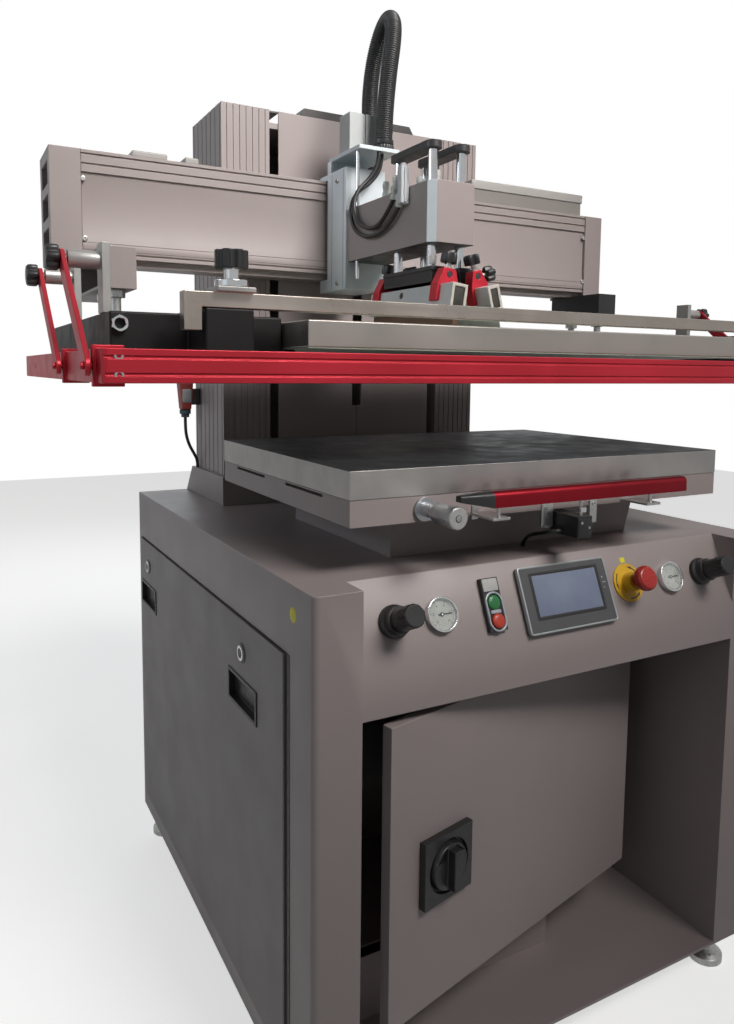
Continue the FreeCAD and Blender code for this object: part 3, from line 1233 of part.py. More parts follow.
# Screen: a welded tube frame with the stretched mesh under it.
mesh_foot = S.frame_lip_top
frame_foot = mesh_foot + S.mesh_thickness
frame_span = ((-S.frame_half, S.frame_half), (S.frame_front, S.frame_rear))
inner_span = ((S.frame_tube - S.frame_half, S.frame_half - S.frame_tube),
              (S.frame_front + S.frame_tube, S.frame_rear - S.frame_tube))
node("screen_frame", prism("XY_Plane", [rectangle(*frame_span), rectangle(*inner_span)],
                           frame_foot, frame_foot + S.frame_height))
node("screen_mesh", group(block(*frame_span, (mesh_foot, frame_foot))))

# Guard: a red rail round the head, hung on four levers that swing as a parallelogram.
S.put(guard_half=690.0, guard_front=-520.0, guard_rear=220.0, guard_member=25.0,
      guard_height=36.0, guard_foot=1076.5, guard_corner_radius=6.0, guard_groove_width=3.0,
      guard_groove_depth=1.5, guard_groove_offset=9.0, front_ring_y=-485.0,
      rear_ring_y=-267.0, ring_width=10.0, ring_margin=4.0, ring_pin_radius=4.0,
      lever_half_width=11.0)
guard_middle = S.guard_foot + S.guard_height / 2
guard_rise = (S.guard_foot, S.guard_foot + S.guard_height)
guard_rail = new_body()
inner_half = S.guard_half - S.guard_member
inner_front = S.guard_front + S.guard_member
pad(guard_rail, "XY_Plane",
    [[(-S.guard_half, S.guard_front), (S.guard_half, S.guard_front),
      (S.guard_half, S.guard_rear), (inner_half, S.guard_rear), (inner_half, inner_front),
      (-inner_half, inner_front), (-inner_half, S.guard_rear), (-S.guard_half, S.guard_rear)]],
    *guard_rise)
round_edges(guard_rail, S.guard_corner_radius,
            lambda a, b: near(a.y, S.guard_front) and near(b.y, S.guard_front)
            and near(a.x, b.x))
pocket(guard_rail, "YZ_Plane",
       [rectangle((S.guard_front - S.overrun, S.guard_front + S.guard_groove_depth),
                  middle(guard_middle + side * S.guard_groove_offset, S.guard_groove_width))
        for side in (-1, 1)],
       -S.guard_half - S.overrun, S.guard_half + S.overrun)
ring_pieces = []
for ring_y in (S.front_ring_y, S.rear_ring_y):
    for side in (-1, 1):
        ring_x = side * (S.guard_half - S.guard_member / 2)
        ring_pieces.append(block(middle(ring_x, S.guard_member + S.ring_margin * 2),
                                 middle(ring_y, S.ring_width),
                                 middle(guard_middle, S.guard_height + S.ring_margin * 2)))
        pin_length = lever_outside - S.guard_half + S.ring_margin
        ring_pieces.append(bar("X", (ring_y, guard_middle), S.ring_pin_radius,
                               side * (S.guard_half + lever_outside + S.ring_margin) / 2
                               - pin_length / 2,
                               side * (S.guard_half + lever_outside + S.ring_margin) / 2
                               + pin_length / 2))
node("guard_bar", join(guard_rail, *ring_pieces))


def guard_lever(ring_y, pivot_y):
    """A flat lever with rounded ends from its ring pin up to its pivot, at both sides."""
    rise = S.pivot_height - guard_middle
    run = pivot_y - ring_y
    lean = slope_angle(rise, run)
    length = slope_length(rise, run)
    blade = new_body()
    pad(blade, "YZ_Plane",
        [rectangle((as_size(0), length), (-S.lever_half_width, S.lever_half_width))],
        S.lever_inside, lever_outside)
    slope = place(turn(join(blade,
                            bar("X", (0, 0), S.lever_half_width, S.lever_inside, lever_outside),
                            bar("X", (length, 0), S.lever_half_width, S.lever_inside,
                                lever_outside)),
                       (1, 0, 0), lean), 0, ring_y, guard_middle)
    lever = cut(slope,
                bar("X", (ring_y, guard_middle), S.ring_pin_radius + S.shaft_clearance,
                    S.lever_inside - S.overrun, lever_outside + S.overrun),
                bar("X", (pivot_y, S.pivot_height), S.pivot_pin_radius + S.shaft_clearance,
                    S.lever_inside - S.overrun, lever_outside + S.overrun))
    return both_hands(lever)


node("front_levers", guard_lever(S.front_ring_y, S.front_pivot_y))
node("rear_levers", guard_lever(S.rear_ring_y, S.rear_pivot_y))

# Printing carriage on the beam: a deep plate that hooks over and under it, a post and a top plate.
S.put(print_left=-116.0, print_right=-28.0, print_front=68.0, print_rear=151.0,
      print_foot=1253.0, print_top=1489.0, hook_rear=187.0, hook_right=16.0,
      hook_gap=0.3, under_hook_rear=185.0, under_hook_top=1278.7,
      web_thickness=11.0, shelf_front=20.0, shelf_foot_z=1513.0, shelf_thickness=8.0,
      shelf_left=-112.0, post_left=-92.0, post_right=-23.0, post_front_y=100.0,
      post_rear_y=145.0, post_top=1605.0, post_groove=6.0, post_groove_depth=5.0)
shelf_top_z = S.shelf_foot_z + S.shelf_thickness
print_span = (S.print_left, S.print_right)
carriage = join(
    block(print_span, (S.print_front, S.print_rear), (S.print_foot, S.print_top)),
    block((S.print_left, S.hook_right), (S.print_rear, S.hook_rear),
          (S.beam_top + S.hook_gap, S.print_top)),
    block(print_span, (S.print_rear, S.under_hook_rear), (S.print_foot, S.under_hook_top)),
    block(print_span, (S.print_rear - S.web_thickness, S.print_rear),
          (S.print_top, S.shelf_foot_z)),
    block((S.shelf_left, S.post_right), (S.shelf_front, S.print_rear),
          (S.shelf_foot_z, shelf_top_z)))
mast = cut(block((S.post_left, S.post_right), (S.post_front_y, S.post_rear_y),
                 (shelf_top_z, S.post_top)),
           *[block(middle((S.post_left + S.post_right) / 2, S.post_groove),
                   span, (shelf_top_z, S.post_top))
             for span in ((S.post_front_y, S.post_front_y + S.post_groove_depth),
                          (S.post_rear_y - S.post_groove_depth, S.post_rear_y))])
node("carriage_plate", group(carriage, mast))

# Head block with the bores that guide the squeegee's and the flood bar's four rods.
S.put(head_left=-111.0, head_right=-23.0, head_front=-232.0, head_foot=1305.0, head_top=1407.0,
      head_chamfer=12.0, squeegee_x=-91.5, flood_x=-34.5, front_rod_y=-205.0, rear_rod_y=-95.0,
      rod_radius=8.0, rod_foot=1267.0, rod_top=1462.0, tie_width=30.0, tie_thickness=12.0,
      mount_foot=1240.0, mount_front=-230.0, mount_rear=-70.0)
rod_places = [(x, y) for x in (S.squeegee_x, S.flood_x) for y in (S.front_rod_y, S.rear_rod_y)]
head_body = new_body()
pad(head_body, "XY_Plane",
    [[(S.head_left + S.head_chamfer, S.head_front), (S.head_right, S.head_front),
      (S.head_right, S.print_front), (S.head_left, S.print_front),
      (S.head_left, S.head_front + S.head_chamfer)]],
    S.head_foot, S.head_top)
pocket(head_body, "XY_Plane",
       [(x, y, S.rod_radius + S.shaft_clearance) for x, y in rod_places],
       S.head_foot - S.overrun, S.head_top + S.overrun)
node("head_block", head_body)

# Hoses: the corrugated hose between its two glands, and two air tubes to the block's fittings.
S.put(hose_radius=17.0, hose_x=-33.0, hose_y=65.0, hose_gland_radius=20.0, hose_gland=26.0,
      hose_end_x=-3.0, hose_end_y=168.0, air_radius=4.0,
      fitting_length=14.0, air_y=40.0, outer_air_x=-52.0, inner_air_x=-66.0,
      outer_fitting_y=-140.0, outer_fitting_z=1376.0, inner_fitting_y=-122.0,
      inner_fitting_z=1392.0, air_plane_x=-118.0)
HOSE_ROUTE = [(-32.0, 65.0, 1592.0), (-28.0, 65.0, 1640.0), (-22.0, 66.0, 1690.0),
              (-14.0, 68.0, 1736.0), (-5.0, 80.0, 1780.0), (3.0, 108.0, 1806.0),
              (7.0, 142.0, 1800.0), (6.0, 168.0, 1770.0), (3.0, 181.0, 1728.0),
              (0.0, 186.0, 1680.0), (-2.0, 184.0, 1632.0), (-3.0, 174.0, 1585.0)]
corrugated = tube([(S.hose_x, S.hose_y, shelf_top_z + S.hose_gland)] + HOSE_ROUTE
                  + [(S.hose_end_x, S.hose_end_y, S.print_top + S.hose_gland)], S.hose_radius)
hose_glands = [bar("Z", (S.hose_x, S.hose_y), S.hose_gland_radius, shelf_top_z,
                   shelf_top_z + S.hose_gland),
               bar("Z", (S.hose_end_x, S.hose_end_y), S.hose_radius, S.print_top,
                   S.print_top + S.hose_gland)]
OUTER_AIR_ROUTE = [(-52.0, 40.0, 1488.0), (-72.0, 46.0, 1458.0), (-105.0, 46.0, 1436.0),
                   (-119.5, 44.0, 1402.0), (-118.5, 30.0, 1364.0), (-118.0, -6.0, 1344.0),
                   (-118.0, -48.0, 1338.0), (-118.0, -90.0, 1344.0), (-118.0, -122.0, 1360.0)]
INNER_AIR_ROUTE = [(-66.0, 26.0, 1490.0), (-84.0, 30.0, 1460.0), (-109.0, 32.0, 1438.0),
                   (-119.5, 30.0, 1406.0), (-118.5, 14.0, 1374.0), (-118.0, -18.0, 1358.0),
                   (-118.0, -56.0, 1352.0), (-118.0, -90.0, 1364.0)]
air_tubes = [
    tube([(S.outer_air_x, S.air_y, S.shelf_foot_z)] + OUTER_AIR_ROUTE
         + [(S.air_plane_x, S.outer_fitting_y, S.outer_fitting_z)], S.air_radius),
    tube([(S.inner_air_x, S.air_y - S.fitting_length, S.shelf_foot_z)] + INNER_AIR_ROUTE
         + [(S.air_plane_x, S.inner_fitting_y, S.inner_fitting_z)], S.air_radius)]
node("hoses", group(corrugated, *hose_glands, *air_tubes))

# Squeegee and flood bar lifts: two ground rods, a tie bar on top and a mounting bar below.
tie_top = S.rod_top + S.tie_thickness


def lift_set(x):
    """The rods, tie bar and mounting bar of one lift, the pivot pin fixed in the bar."""
    rods = [bar("Z", (x, y), S.rod_radius, S.rod_foot, S.rod_top)
            for y in (S.front_rod_y, S.rear_rod_y)]
    tie = join(block(middle(x, S.tie_width), (S.front_rod_y, S.rear_rod_y),
                     (S.rod_top, tie_top)),
               *[bar("Z", (x, y), S.tie_width / 2, S.rod_top, tie_top)
                 for y in (S.front_rod_y, S.rear_rod_y)])
    mount = join(block(middle(x, S.tie_width), (S.mount_front, S.mount_rear),
                       (S.mount_foot, S.rod_foot)),
                 bar("Y", (x, S.tilt_height), S.tilt_pin_radius,
                     S.front_clamp_front, S.rear_clamp_rear))
    return group(tie, mount, *rods)


S.put(tilt_height=1250.0, tilt_pin_radius=5.0, front_clamp_front=-262.0, clamp_length=22.0,
      rear_clamp_rear=-44.0, clamp_side=6.0, clamp_top=10.0, holder_top=-18.0,
      holder_height=42.0, squeegee_half=15.0, flood_half=12.0, holder_front=-295.0,
      holder_rear=-30.0, holder_wall=3.0, clamp_foot=-46.0, squeegee_lean=8.0,
      flood_lean=15.0, blade_half=4.5, blade_tip=-85.0, blade_seat=-50.0,
      flood_blade_half=1.0, flood_blade_tip=-88.0)
node("squeegee_lift", lift_set(S.squeegee_x))
node("flood_lift", lift_set(S.flood_x))


def leaning(item, x, lean):
    """Carry a piece drawn about the tilt pin to its lift, tilted by an angle."""
    return place(turn(item, (0, 1, 0), lean), x, 0, S.tilt_height)


def clamp_pair(half):
    """The two clamps of one holder: forks with a bored head on the pin."""
    outer = half + S.clamp_side
    clamps = []
    for clamp_front in (S.front_clamp_front, S.rear_clamp_rear - S.clamp_length):
        fork = new_body()
        pad(fork, "XZ_Plane",
            [[(-outer, S.clamp_foot), (-half, S.clamp_foot), (-half, S.holder_top),
              (half, S.holder_top), (half, S.clamp_foot), (outer, S.clamp_foot),
              (outer, S.holder_top), (outer - S.clamp_top, S.clamp_top),
              (S.clamp_top - outer, S.clamp_top), (-outer, S.holder_top)]],
            clamp_front, clamp_front + S.clamp_length)
        pocket(fork, "XZ_Plane", [(0, 0, S.tilt_pin_radius + S.shaft_clearance)],
               clamp_front - S.overrun, clamp_front + S.clamp_length + S.overrun)
        clamps.append(fork)
    return group(*clamps)


holder_foot = S.holder_top - S.holder_height
holder_ends = (S.holder_front, S.holder_rear)
node("squeegee_clamps", leaning(clamp_pair(S.squeegee_half), S.squeegee_x, S.squeegee_lean))
node("flood_clamps", leaning(clamp_pair(S.flood_half), S.flood_x, -S.flood_lean))

# Squeegee: a hollow holder with a rubber blade gripped in its mouth.
squeegee_holder = new_body()
pad(squeegee_holder, "XZ_Plane",
    [[(-S.squeegee_half, holder_foot), (-S.blade_half, holder_foot),
      (-S.blade_half, S.blade_seat), (S.blade_half, S.blade_seat), (S.blade_half, holder_foot),
      (S.squeegee_half, holder_foot), (S.squeegee_half, S.holder_top),
      (-S.squeegee_half, S.holder_top)]], *holder_ends)
pocket(squeegee_holder, "XZ_Plane",
       [rectangle((S.holder_wall - S.squeegee_half, S.squeegee_half - S.holder_wall),
                  (S.blade_seat + S.holder_wall, S.holder_top - S.holder_wall))],
       S.holder_front - S.overrun, S.holder_rear + S.overrun)
node("squeegee_holder", leaning(squeegee_holder, S.squeegee_x, S.squeegee_lean))
node("squeegee_blade",
     leaning(group(block((-S.blade_half, S.blade_half), holder_ends,
                         (S.blade_tip, S.blade_seat))), S.squeegee_x, S.squeegee_lean))

# Flood bar: a lighter holder with a thin steel blade.
flood_holder = new_body()
pad(flood_holder, "XZ_Plane",
    [[(-S.flood_half, holder_foot), (-S.flood_blade_half, holder_foot),
      (-S.flood_blade_half, S.flood_blade_tip), (S.flood_blade_half, S.flood_blade_tip),
      (S.flood_blade_half, holder_foot), (S.flood_half, holder_foot),
      (S.flood_half, S.holder_top), (-S.flood_half, S.holder_top)]], *holder_ends)
pocket(flood_holder, "XZ_Plane",
       [rectangle((S.holder_wall - S.flood_half, S.flood_half - S.holder_wall),
                  (holder_foot + S.holder_wall, S.holder_top - S.holder_wall))],
       S.holder_front - S.overrun, S.holder_rear + S.overrun)
node("flood_holder", leaning(flood_holder, S.flood_x, -S.flood_lean))

# Every object is sound before anything is written.
document.recompute()
for item in document.Objects:
    if "Invalid" in item.State or "Error" in item.State:
        raise RuntimeError("%s (%s) failed: %s" % (item.Label, item.Name, item.State))
    if item.TypeId == "PartDesign::Pocket":
        taken = item.BaseFeature.Shape.Volume - item.Shape.Volume
        if taken <= TOUCHING:
            raise RuntimeError("%s takes nothing out of %s" % (item.Name, item.BaseFeature.Name))
for name, item in nodes.items():
    if item.Shape.isNull() or not item.Shape.isValid() or not item.Shape.Solids:
        raise RuntimeError("%s has no valid solid" % name)
for name, item in nodes.items():
    item.Shape.exportStep("parts/%s.step" % name)
print("%d nodes written" % len(nodes))
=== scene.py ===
import json
import math

import bmesh
import bpy
import numpy as np
from mathutils import Matrix, Vector


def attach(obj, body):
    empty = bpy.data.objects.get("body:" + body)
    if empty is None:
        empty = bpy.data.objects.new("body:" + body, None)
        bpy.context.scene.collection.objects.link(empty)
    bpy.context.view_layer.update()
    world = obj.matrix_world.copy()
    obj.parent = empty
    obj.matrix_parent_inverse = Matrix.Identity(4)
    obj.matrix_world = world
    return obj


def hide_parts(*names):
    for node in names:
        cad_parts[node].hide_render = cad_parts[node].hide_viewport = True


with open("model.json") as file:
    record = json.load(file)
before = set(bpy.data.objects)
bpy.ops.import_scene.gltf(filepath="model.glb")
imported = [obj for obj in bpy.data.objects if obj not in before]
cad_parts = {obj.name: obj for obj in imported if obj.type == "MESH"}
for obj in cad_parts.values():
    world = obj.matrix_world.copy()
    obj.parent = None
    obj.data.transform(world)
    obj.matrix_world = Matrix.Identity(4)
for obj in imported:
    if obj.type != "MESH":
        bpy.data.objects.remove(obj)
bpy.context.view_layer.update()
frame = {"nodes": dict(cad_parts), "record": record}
scene = bpy.context.scene
scene.view_settings.view_transform = "Standard"

# Camera: a hand-held view from the press's front left corner, at the height of the screen.
# The lens is in pixels of the photograph's frame, and the lens axis lies above its middle.
FRAME_HEIGHT = 1024
FOCAL_PIXELS = 794.9
AXIS_ROW = 450.0
CAMERA_PLACE = Vector((-0.8403, -1.3594, 1.0921))
CAMERA_YAW = math.radians(28.56)
CAMERA_PITCH = math.radians(5.71)
CAMERA_ROLL = math.radians(0.53)
SENSOR = 36.0

ahead = Vector((math.sin(CAMERA_YAW) * math.cos(CAMERA_PITCH),
                math.cos(CAMERA_YAW) * math.cos(CAMERA_PITCH), -math.sin(CAMERA_PITCH)))
level_right = Vector((math.cos(CAMERA_YAW), -math.sin(CAMERA_YAW), 0))
upright = level_right.cross(ahead)
right = level_right * math.cos(CAMERA_ROLL) + upright * math.sin(CAMERA_ROLL)
up = upright * math.cos(CAMERA_ROLL) - level_right * math.sin(CAMERA_ROLL)
camera = bpy.data.objects.new("camera", bpy.data.cameras.new("camera"))
camera.data.sensor_width = SENSOR
camera.data.lens = FOCAL_PIXELS * SENSOR / FRAME_HEIGHT
camera.data.shift_y = (AXIS_ROW - FRAME_HEIGHT / 2) / FRAME_HEIGHT
camera.matrix_world = Matrix.Translation(CAMERA_PLACE) @ Matrix((right, up, -ahead)).transposed().to_4x4()
scene.collection.objects.link(camera)
scene.camera = camera

# Corrugated hose: a black polyamide conduit that arches from a gland on the carriage's shelf
# to a spigot on the carriage's hook. Its ribs are rings, a few millimetres apart.
HOSE_RADIUS = 0.017
HOSE_RIB = 0.0042
HOSE_RIB_DEPTH = 0.0016
RINGS_PER_RIB = 6
HOSE_ROUTE = [(-0.033, 0.065, 1.547), (-0.032, 0.065, 1.592), (-0.028, 0.065, 1.640),
              (-0.022, 0.066, 1.690), (-0.014, 0.068, 1.736), (-0.005, 0.080, 1.780),
              (0.003, 0.108, 1.806), (0.007, 0.142, 1.800), (0.006, 0.168, 1.770),
              (0.003, 0.181, 1.728), (0.000, 0.186, 1.680), (-0.002, 0.184, 1.632),
              (-0.003, 0.174, 1.585), (-0.003, 0.168, 1.515)]


def build(name, points, faces, body):
    """A new piece that rides on a body: its mesh, with all its faces turned outwards."""
    mesh = bpy.data.meshes.new(name)
    mesh.from_pydata(np.asarray(points).tolist(), [], faces)
    shell = bmesh.new()
    shell.from_mesh(mesh)
    bmesh.ops.remove_doubles(shell, verts=shell.verts, dist=1e-7)
    bmesh.ops.recalc_face_normals(shell, faces=shell.faces)
    shell.to_mesh(mesh)
    shell.free()
    mesh.polygons.foreach_set("use_smooth", np.ones(len(mesh.polygons), bool))
    piece = bpy.data.objects.new(name, mesh)
    scene.collection.objects.link(piece)
    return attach(piece, body)


def quads_between(count, sides, joins):
    """Quads between neighbouring rings, for a number of joins between the rings that follow each other."""
    row, column = np.meshgrid(np.arange(joins), np.arange(sides), indexing="ij")
    following = (column + 1) % sides
    below = (row + 1) % count
    return np.stack([row * sides + column, row * sides + following, below * sides + following,
                     below * sides + column], -1).reshape(-1, 4).tolist()


def skin(rings):
    """Points and faces of a closed skin: rings joined by quads, each end closed on its middle."""
    rings = np.asarray(rings, float)
    count, sides = rings.shape[:2]
    points = np.concatenate([rings.reshape(-1, 3), rings[0].mean(0)[None], rings[-1].mean(0)[None]])
    last = (count - 1) * sides
    caps = [[(side + 1) % sides, side, count * sides] for side in range(sides)]
    caps += [[last + side, last + (side + 1) % sides, count * sides + 1] for side in range(sides)]
    return points, quads_between(count, sides, count - 1) + caps


def baked(curve):
    """The points and faces of a curve or a text, which is then removed."""
    holder = bpy.data.objects.new("holder", curve)
    mesh = bpy.data.meshes.new_from_object(holder)
    points = np.zeros(len(mesh.vertices) * 3)
    mesh.vertices.foreach_get("co", points)
    faces = [list(face.vertices) for face in mesh.polygons]
    bpy.data.objects.remove(holder)
    bpy.data.curves.remove(curve)
    bpy.data.meshes.remove(mesh)
    return points.reshape(-1, 3), faces


def spline_points(route, resolution=12):
    """Points along the quadratic spline that has the route as its control points."""
    curve = bpy.data.curves.new("route", "CURVE")
    curve.dimensions = "3D"
    curve.resolution_u = resolution
    spline = curve.splines.new("NURBS")
    spline.points.add(len(route) - 1)
    spline.points.foreach_set("co", np.c_[np.array(route), np.ones(len(route))].ravel())
    spline.order_u = 3
    spline.use_endpoint_u = True
    return baked(curve)[0]


def evenly(path, step):
    """The same path with its points about one step apart, and its length."""
    along = np.r_[0, np.linalg.norm(np.diff(path, axis=0), axis=1).cumsum()]
    wanted = np.linspace(0, along[-1], max(2, int(round(along[-1] / step)) + 1))
    return np.stack([np.interp(wanted, along, path[:, axis]) for axis in range(3)], -1), along[-1]


def along_path(path, radii, sides):
    """Rings of a round section carried along a path: each ring lies across the path's direction.

    The ring's first axis is carried from point to point and only leant, never twisted.
    """
    heading = np.gradient(path, axis=0)
    heading /= np.linalg.norm(heading, axis=1)[:, None]
    angles = np.arange(sides) * math.tau / sides
    across = np.cross(heading[0], (0.0, 0.0, 1.0) if abs(heading[0][2]) < 0.9 else (1.0, 0.0, 0.0))
    rings = []
    for place, direction, radius in zip(path, heading, radii):
        across = across - direction * across.dot(direction)
        across /= np.linalg.norm(across)
        beside = np.cross(direction, across)
        rings.append(place + radius * (np.cos(angles)[:, None] * across + np.sin(angles)[:, None] * beside))
    return rings


def cord_piece(name, route, radius, body, step=None, rib_depth=0.0, sides=16):
    """A round cord along its route, plain or ribbed.

    The ribs are a wave on its radius: radius - depth * (0.5 - 0.5 cos phase) ** 2.
    """
    path, length = evenly(spline_points(route), step or radius)
    rib_phase = np.arange(len(path)) * math.tau / RINGS_PER_RIB
    radii = radius - rib_depth * (0.5 - 0.5 * np.cos(rib_phase)) ** 2
    piece = build(name, *skin(along_path(path, radii, sides)), body)
    return piece


hose = cord_piece("corrugated_hose", HOSE_ROUTE, HOSE_RADIUS, "carriage", HOSE_RIB / RINGS_PER_RIB,
                  HOSE_RIB_DEPTH, 28)

# Air tubes: two black polyurethane tubes that leave the shelf's foot and loop forwards to the
# head block's two push-in fittings.
AIR_RADIUS = 0.004
OUTER_AIR_ROUTE = [(-0.052, 0.040, 1.513), (-0.052, 0.040, 1.488), (-0.072, 0.046, 1.458),
                   (-0.105, 0.046, 1.436), (-0.1195, 0.044, 1.402), (-0.1185, 0.030, 1.364),
                   (-0.118, -0.006, 1.344), (-0.118, -0.048, 1.338), (-0.118, -0.090, 1.344),
                   (-0.118, -0.122, 1.360), (-0.118, -0.140, 1.376)]
INNER_AIR_ROUTE = [(-0.066, 0.026, 1.513), (-0.066, 0.026, 1.490), (-0.084, 0.030, 1.460),
                   (-0.109, 0.032, 1.438), (-0.1195, 0.030, 1.406), (-0.1185, 0.014, 1.374),
                   (-0.118, -0.018, 1.358), (-0.118, -0.056, 1.352), (-0.118, -0.090, 1.364),
                   (-0.118, -0.122, 1.392)]
plain_cords = [cord_piece("outer_air_tube", OUTER_AIR_ROUTE, AIR_RADIUS, "carriage"),
               cord_piece("inner_air_tube", INNER_AIR_ROUTE, AIR_RADIUS, "carriage")]
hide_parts("hoses")

# Cables: the limit switch's lead, which leaves its flank and drops through a hole in the deck,
# and the side connector's lead, which runs down the tower's flank to the plinth's ledge.
SWITCH_CABLE_RADIUS = 0.003
CONNECTOR_CABLE_RADIUS = 0.0035
SWITCH_CABLE_ROUTE = [(-0.006, -0.452, 0.852), (-0.015, -0.452, 0.852), (-0.022, -0.445, 0.851),
                      (-0.024, -0.430, 0.845), (-0.023, -0.413, 0.841), (-0.019, -0.396, 0.836),
                      (-0.0125, -0.380, 0.8295), (-0.0075, -0.3675, 0.821), (-0.0053, -0.359, 0.811),
                      (-0.005, -0.357, 0.798)]
CONNECTOR_CABLE_ROUTE = [(-0.346, 0.405, 0.984), (-0.346, 0.405, 0.966), (-0.3445, 0.4055, 0.944),
                         (-0.338, 0.405, 0.921), (-0.327, 0.4045, 0.901), (-0.319, 0.405, 0.886),
                         (-0.319, 0.405, 0.870)]
switch_cable = cord_piece("switch_cable", SWITCH_CABLE_ROUTE, SWITCH_CABLE_RADIUS, "base")
connector_cable = cord_piece("connector_cable", CONNECTOR_CABLE_ROUTE, CONNECTOR_CABLE_RADIUS, "base")
plain_cords += [switch_cable, connector_cable]
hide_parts("control_cables")

# Floor and light: a pale floor that keeps the press's shadow, a white surround for the camera
# and for reflections, and four large soft lamps. The key lamp stands in front, to the right.
# Each lamp has its place, its aim, its size, its power, its tint and its spread in degrees.
FLOOR_HALF = 7.0
FLOOR_COLOUR = (0.80, 0.80, 0.80, 1)
FLOOR_LIFT = 0.62
REFLECTED_SHARE = 0.42
SURROUND_LIGHT = 0.085
WHITE = (1, 1, 1, 1)
LAMPS = {"key_lamp": ((0.45, -2.1, 3.35), (-0.1, 0.0, 1.60), 1.5, 16.0, (1.0, 0.955, 0.93), 52.0),
         "side_lamp": ((-3.2, 0.7, 2.5), (-0.3, 0.35, 1.45), 1.2, 2.0, (0.80, 0.90, 1.0), 42.0),
         "low_lamp": ((-3.2, -1.6, 1.5), (-0.3, -0.3, 0.8), 1.8, 0.7, (0.62, 0.80, 1.0), 80.0),
         "back_lamp": ((0.6, 3.4, 2.6), (0.0, 0.0, 1.0), 2.2, 15.0, (0.85, 0.93, 1.0), 180.0)}

floor_corners = [(x * FLOOR_HALF, y * FLOOR_HALF, 0) for x, y in ((-1, -1), (1, -1), (1, 1), (-1, 1))]
floor_mesh = bpy.data.meshes.new("floor")
floor_mesh.from_pydata(floor_corners, [], [(0, 1, 2, 3)])
floor = bpy.data.objects.new("floor", floor_mesh)
scene.collection.objects.link(floor)


def feed(tree, socket, value):
    """A shader socket set to a number, or joined to another node's output."""
    if isinstance(value, bpy.types.NodeSocket):
        tree.links.new(value, socket)
    else:
        socket.default_value = value


def set_inputs(tree, node, **inputs):
    """A shader node with its named inputs fed."""
    for name, value in inputs.items():
        feed(tree, node.inputs[name.replace("_", " ")], value)
    return node


def add_node(tree, kind, **inputs):
    """A new shader node of a kind, with its named inputs fed."""
    return set_inputs(tree, tree.nodes.new("ShaderNode" + kind), **inputs)


def sums(tree, operation, *values, kind="Math", output="Value"):
    """The result of one Math or Vector Math node on numbers or outputs."""
    node = add_node(tree, kind)
    node.operation = operation
    for socket, value in zip(node.inputs, values):
        feed(tree, socket, value)
    return node.outputs[output]


def new_material(name):
    """A new material, its tree and its shader."""
    material = bpy.data.materials.new(name)
    material.use_nodes = True
    return material, material.node_tree, material.node_tree.nodes["Principled BSDF"]


def seen_directly(tree):
    """One where the camera or a view through glass looks, less for reflections, zero for light alone."""
    path = add_node(tree, "LightPath")
    mirrored = sums(tree, "MULTIPLY", path.outputs["Is Glossy Ray"], REFLECTED_SHARE)
    looks = sums(tree, "MAXIMUM", path.outputs["Is Camera Ray"], mirrored)
    return sums(tree, "MAXIMUM", looks, path.outputs["Is Transmission Ray"])


world = bpy.data.worlds.new("surround")
scene.world = world
world.use_nodes = True
sky_tree = world.node_tree
sky_strength = add_node(sky_tree, "MapRange", Value=seen_directly(sky_tree), To_Min=SURROUND_LIGHT,
                        To_Max=1.0)
set_inputs(sky_tree, sky_tree.nodes["Background"], Color=WHITE, Strength=sky_strength.outputs["Result"])

floor_material, floor_tree, floor_shader = new_material("studio_floor")
set_inputs(floor_tree, floor_shader, Base_Color=FLOOR_COLOUR, Roughness=0.9, Emission_Color=WHITE,
           Emission_Strength=sums(floor_tree, "MULTIPLY", seen_directly(floor_tree), FLOOR_LIFT))
floor_mesh.materials.append(floor_material)

for lamp_name, (place, aim, size, power, tint, spread) in LAMPS.items():
    light = bpy.data.lights.new(lamp_name, "AREA")
    light.color = tint
    light.size = size
    light.energy = power
    light.spread = math.radians(spread)
    lamp = bpy.data.objects.new(lamp_name, light)
    lamp.location = place
    lamp.rotation_euler = (Vector(aim) - Vector(place)).to_track_quat("-Z", "Y").to_euler()
    scene.collection.objects.link(lamp)

# Cabinet: sheet steel welded into a box with a sloped console between two cheeks and a recess for
# the knees. It is powder coated in taupe, with a fine orange peel and softly broken edges.
PAINT_EDGE = (0.44, 0.39, 0.375)
CREASE = math.radians(30)
MERGE_DISTANCE = 1e-6
FLAT = math.radians(0.4)
BEVEL_SAMPLES = 3
DULLNESS_FINENESS = 3.7
MOULDED = (1200.0, 0.00002)
PRINTED = (1500.0, 0.00001)
ROLLED = (1500.0, 0.00002)
BODY_OF = {name: body for body, names in frame["record"]["behaviour"]["bodies"].items() for name in names}


def shared_effect(name, amounts, results):
    """A node group with named amounts going in and named results coming out, and its two ends."""
    tree = bpy.data.node_groups.new(name, "ShaderNodeTree")
    for label, value in amounts.items():
        tree.interface.new_socket(label, in_out="INPUT", socket_type="NodeSocketFloat").default_value = value
    for label, kind in results.items():
        tree.interface.new_socket(label, in_out="OUTPUT", socket_type="NodeSocket" + kind)
    return tree, tree.nodes.new("NodeGroupInput").outputs, tree.nodes.new("NodeGroupOutput")


def object_place(tree):
    """The point on the piece, in metres."""
    return add_node(tree, "TexCoord").outputs["Object"]


def noise(tree, place, scale, detail):
    """Soft noise at a place."""
    return add_node(tree, "TexNoise", Vector=place, Scale=scale, Detail=detail).outputs["Fac"]


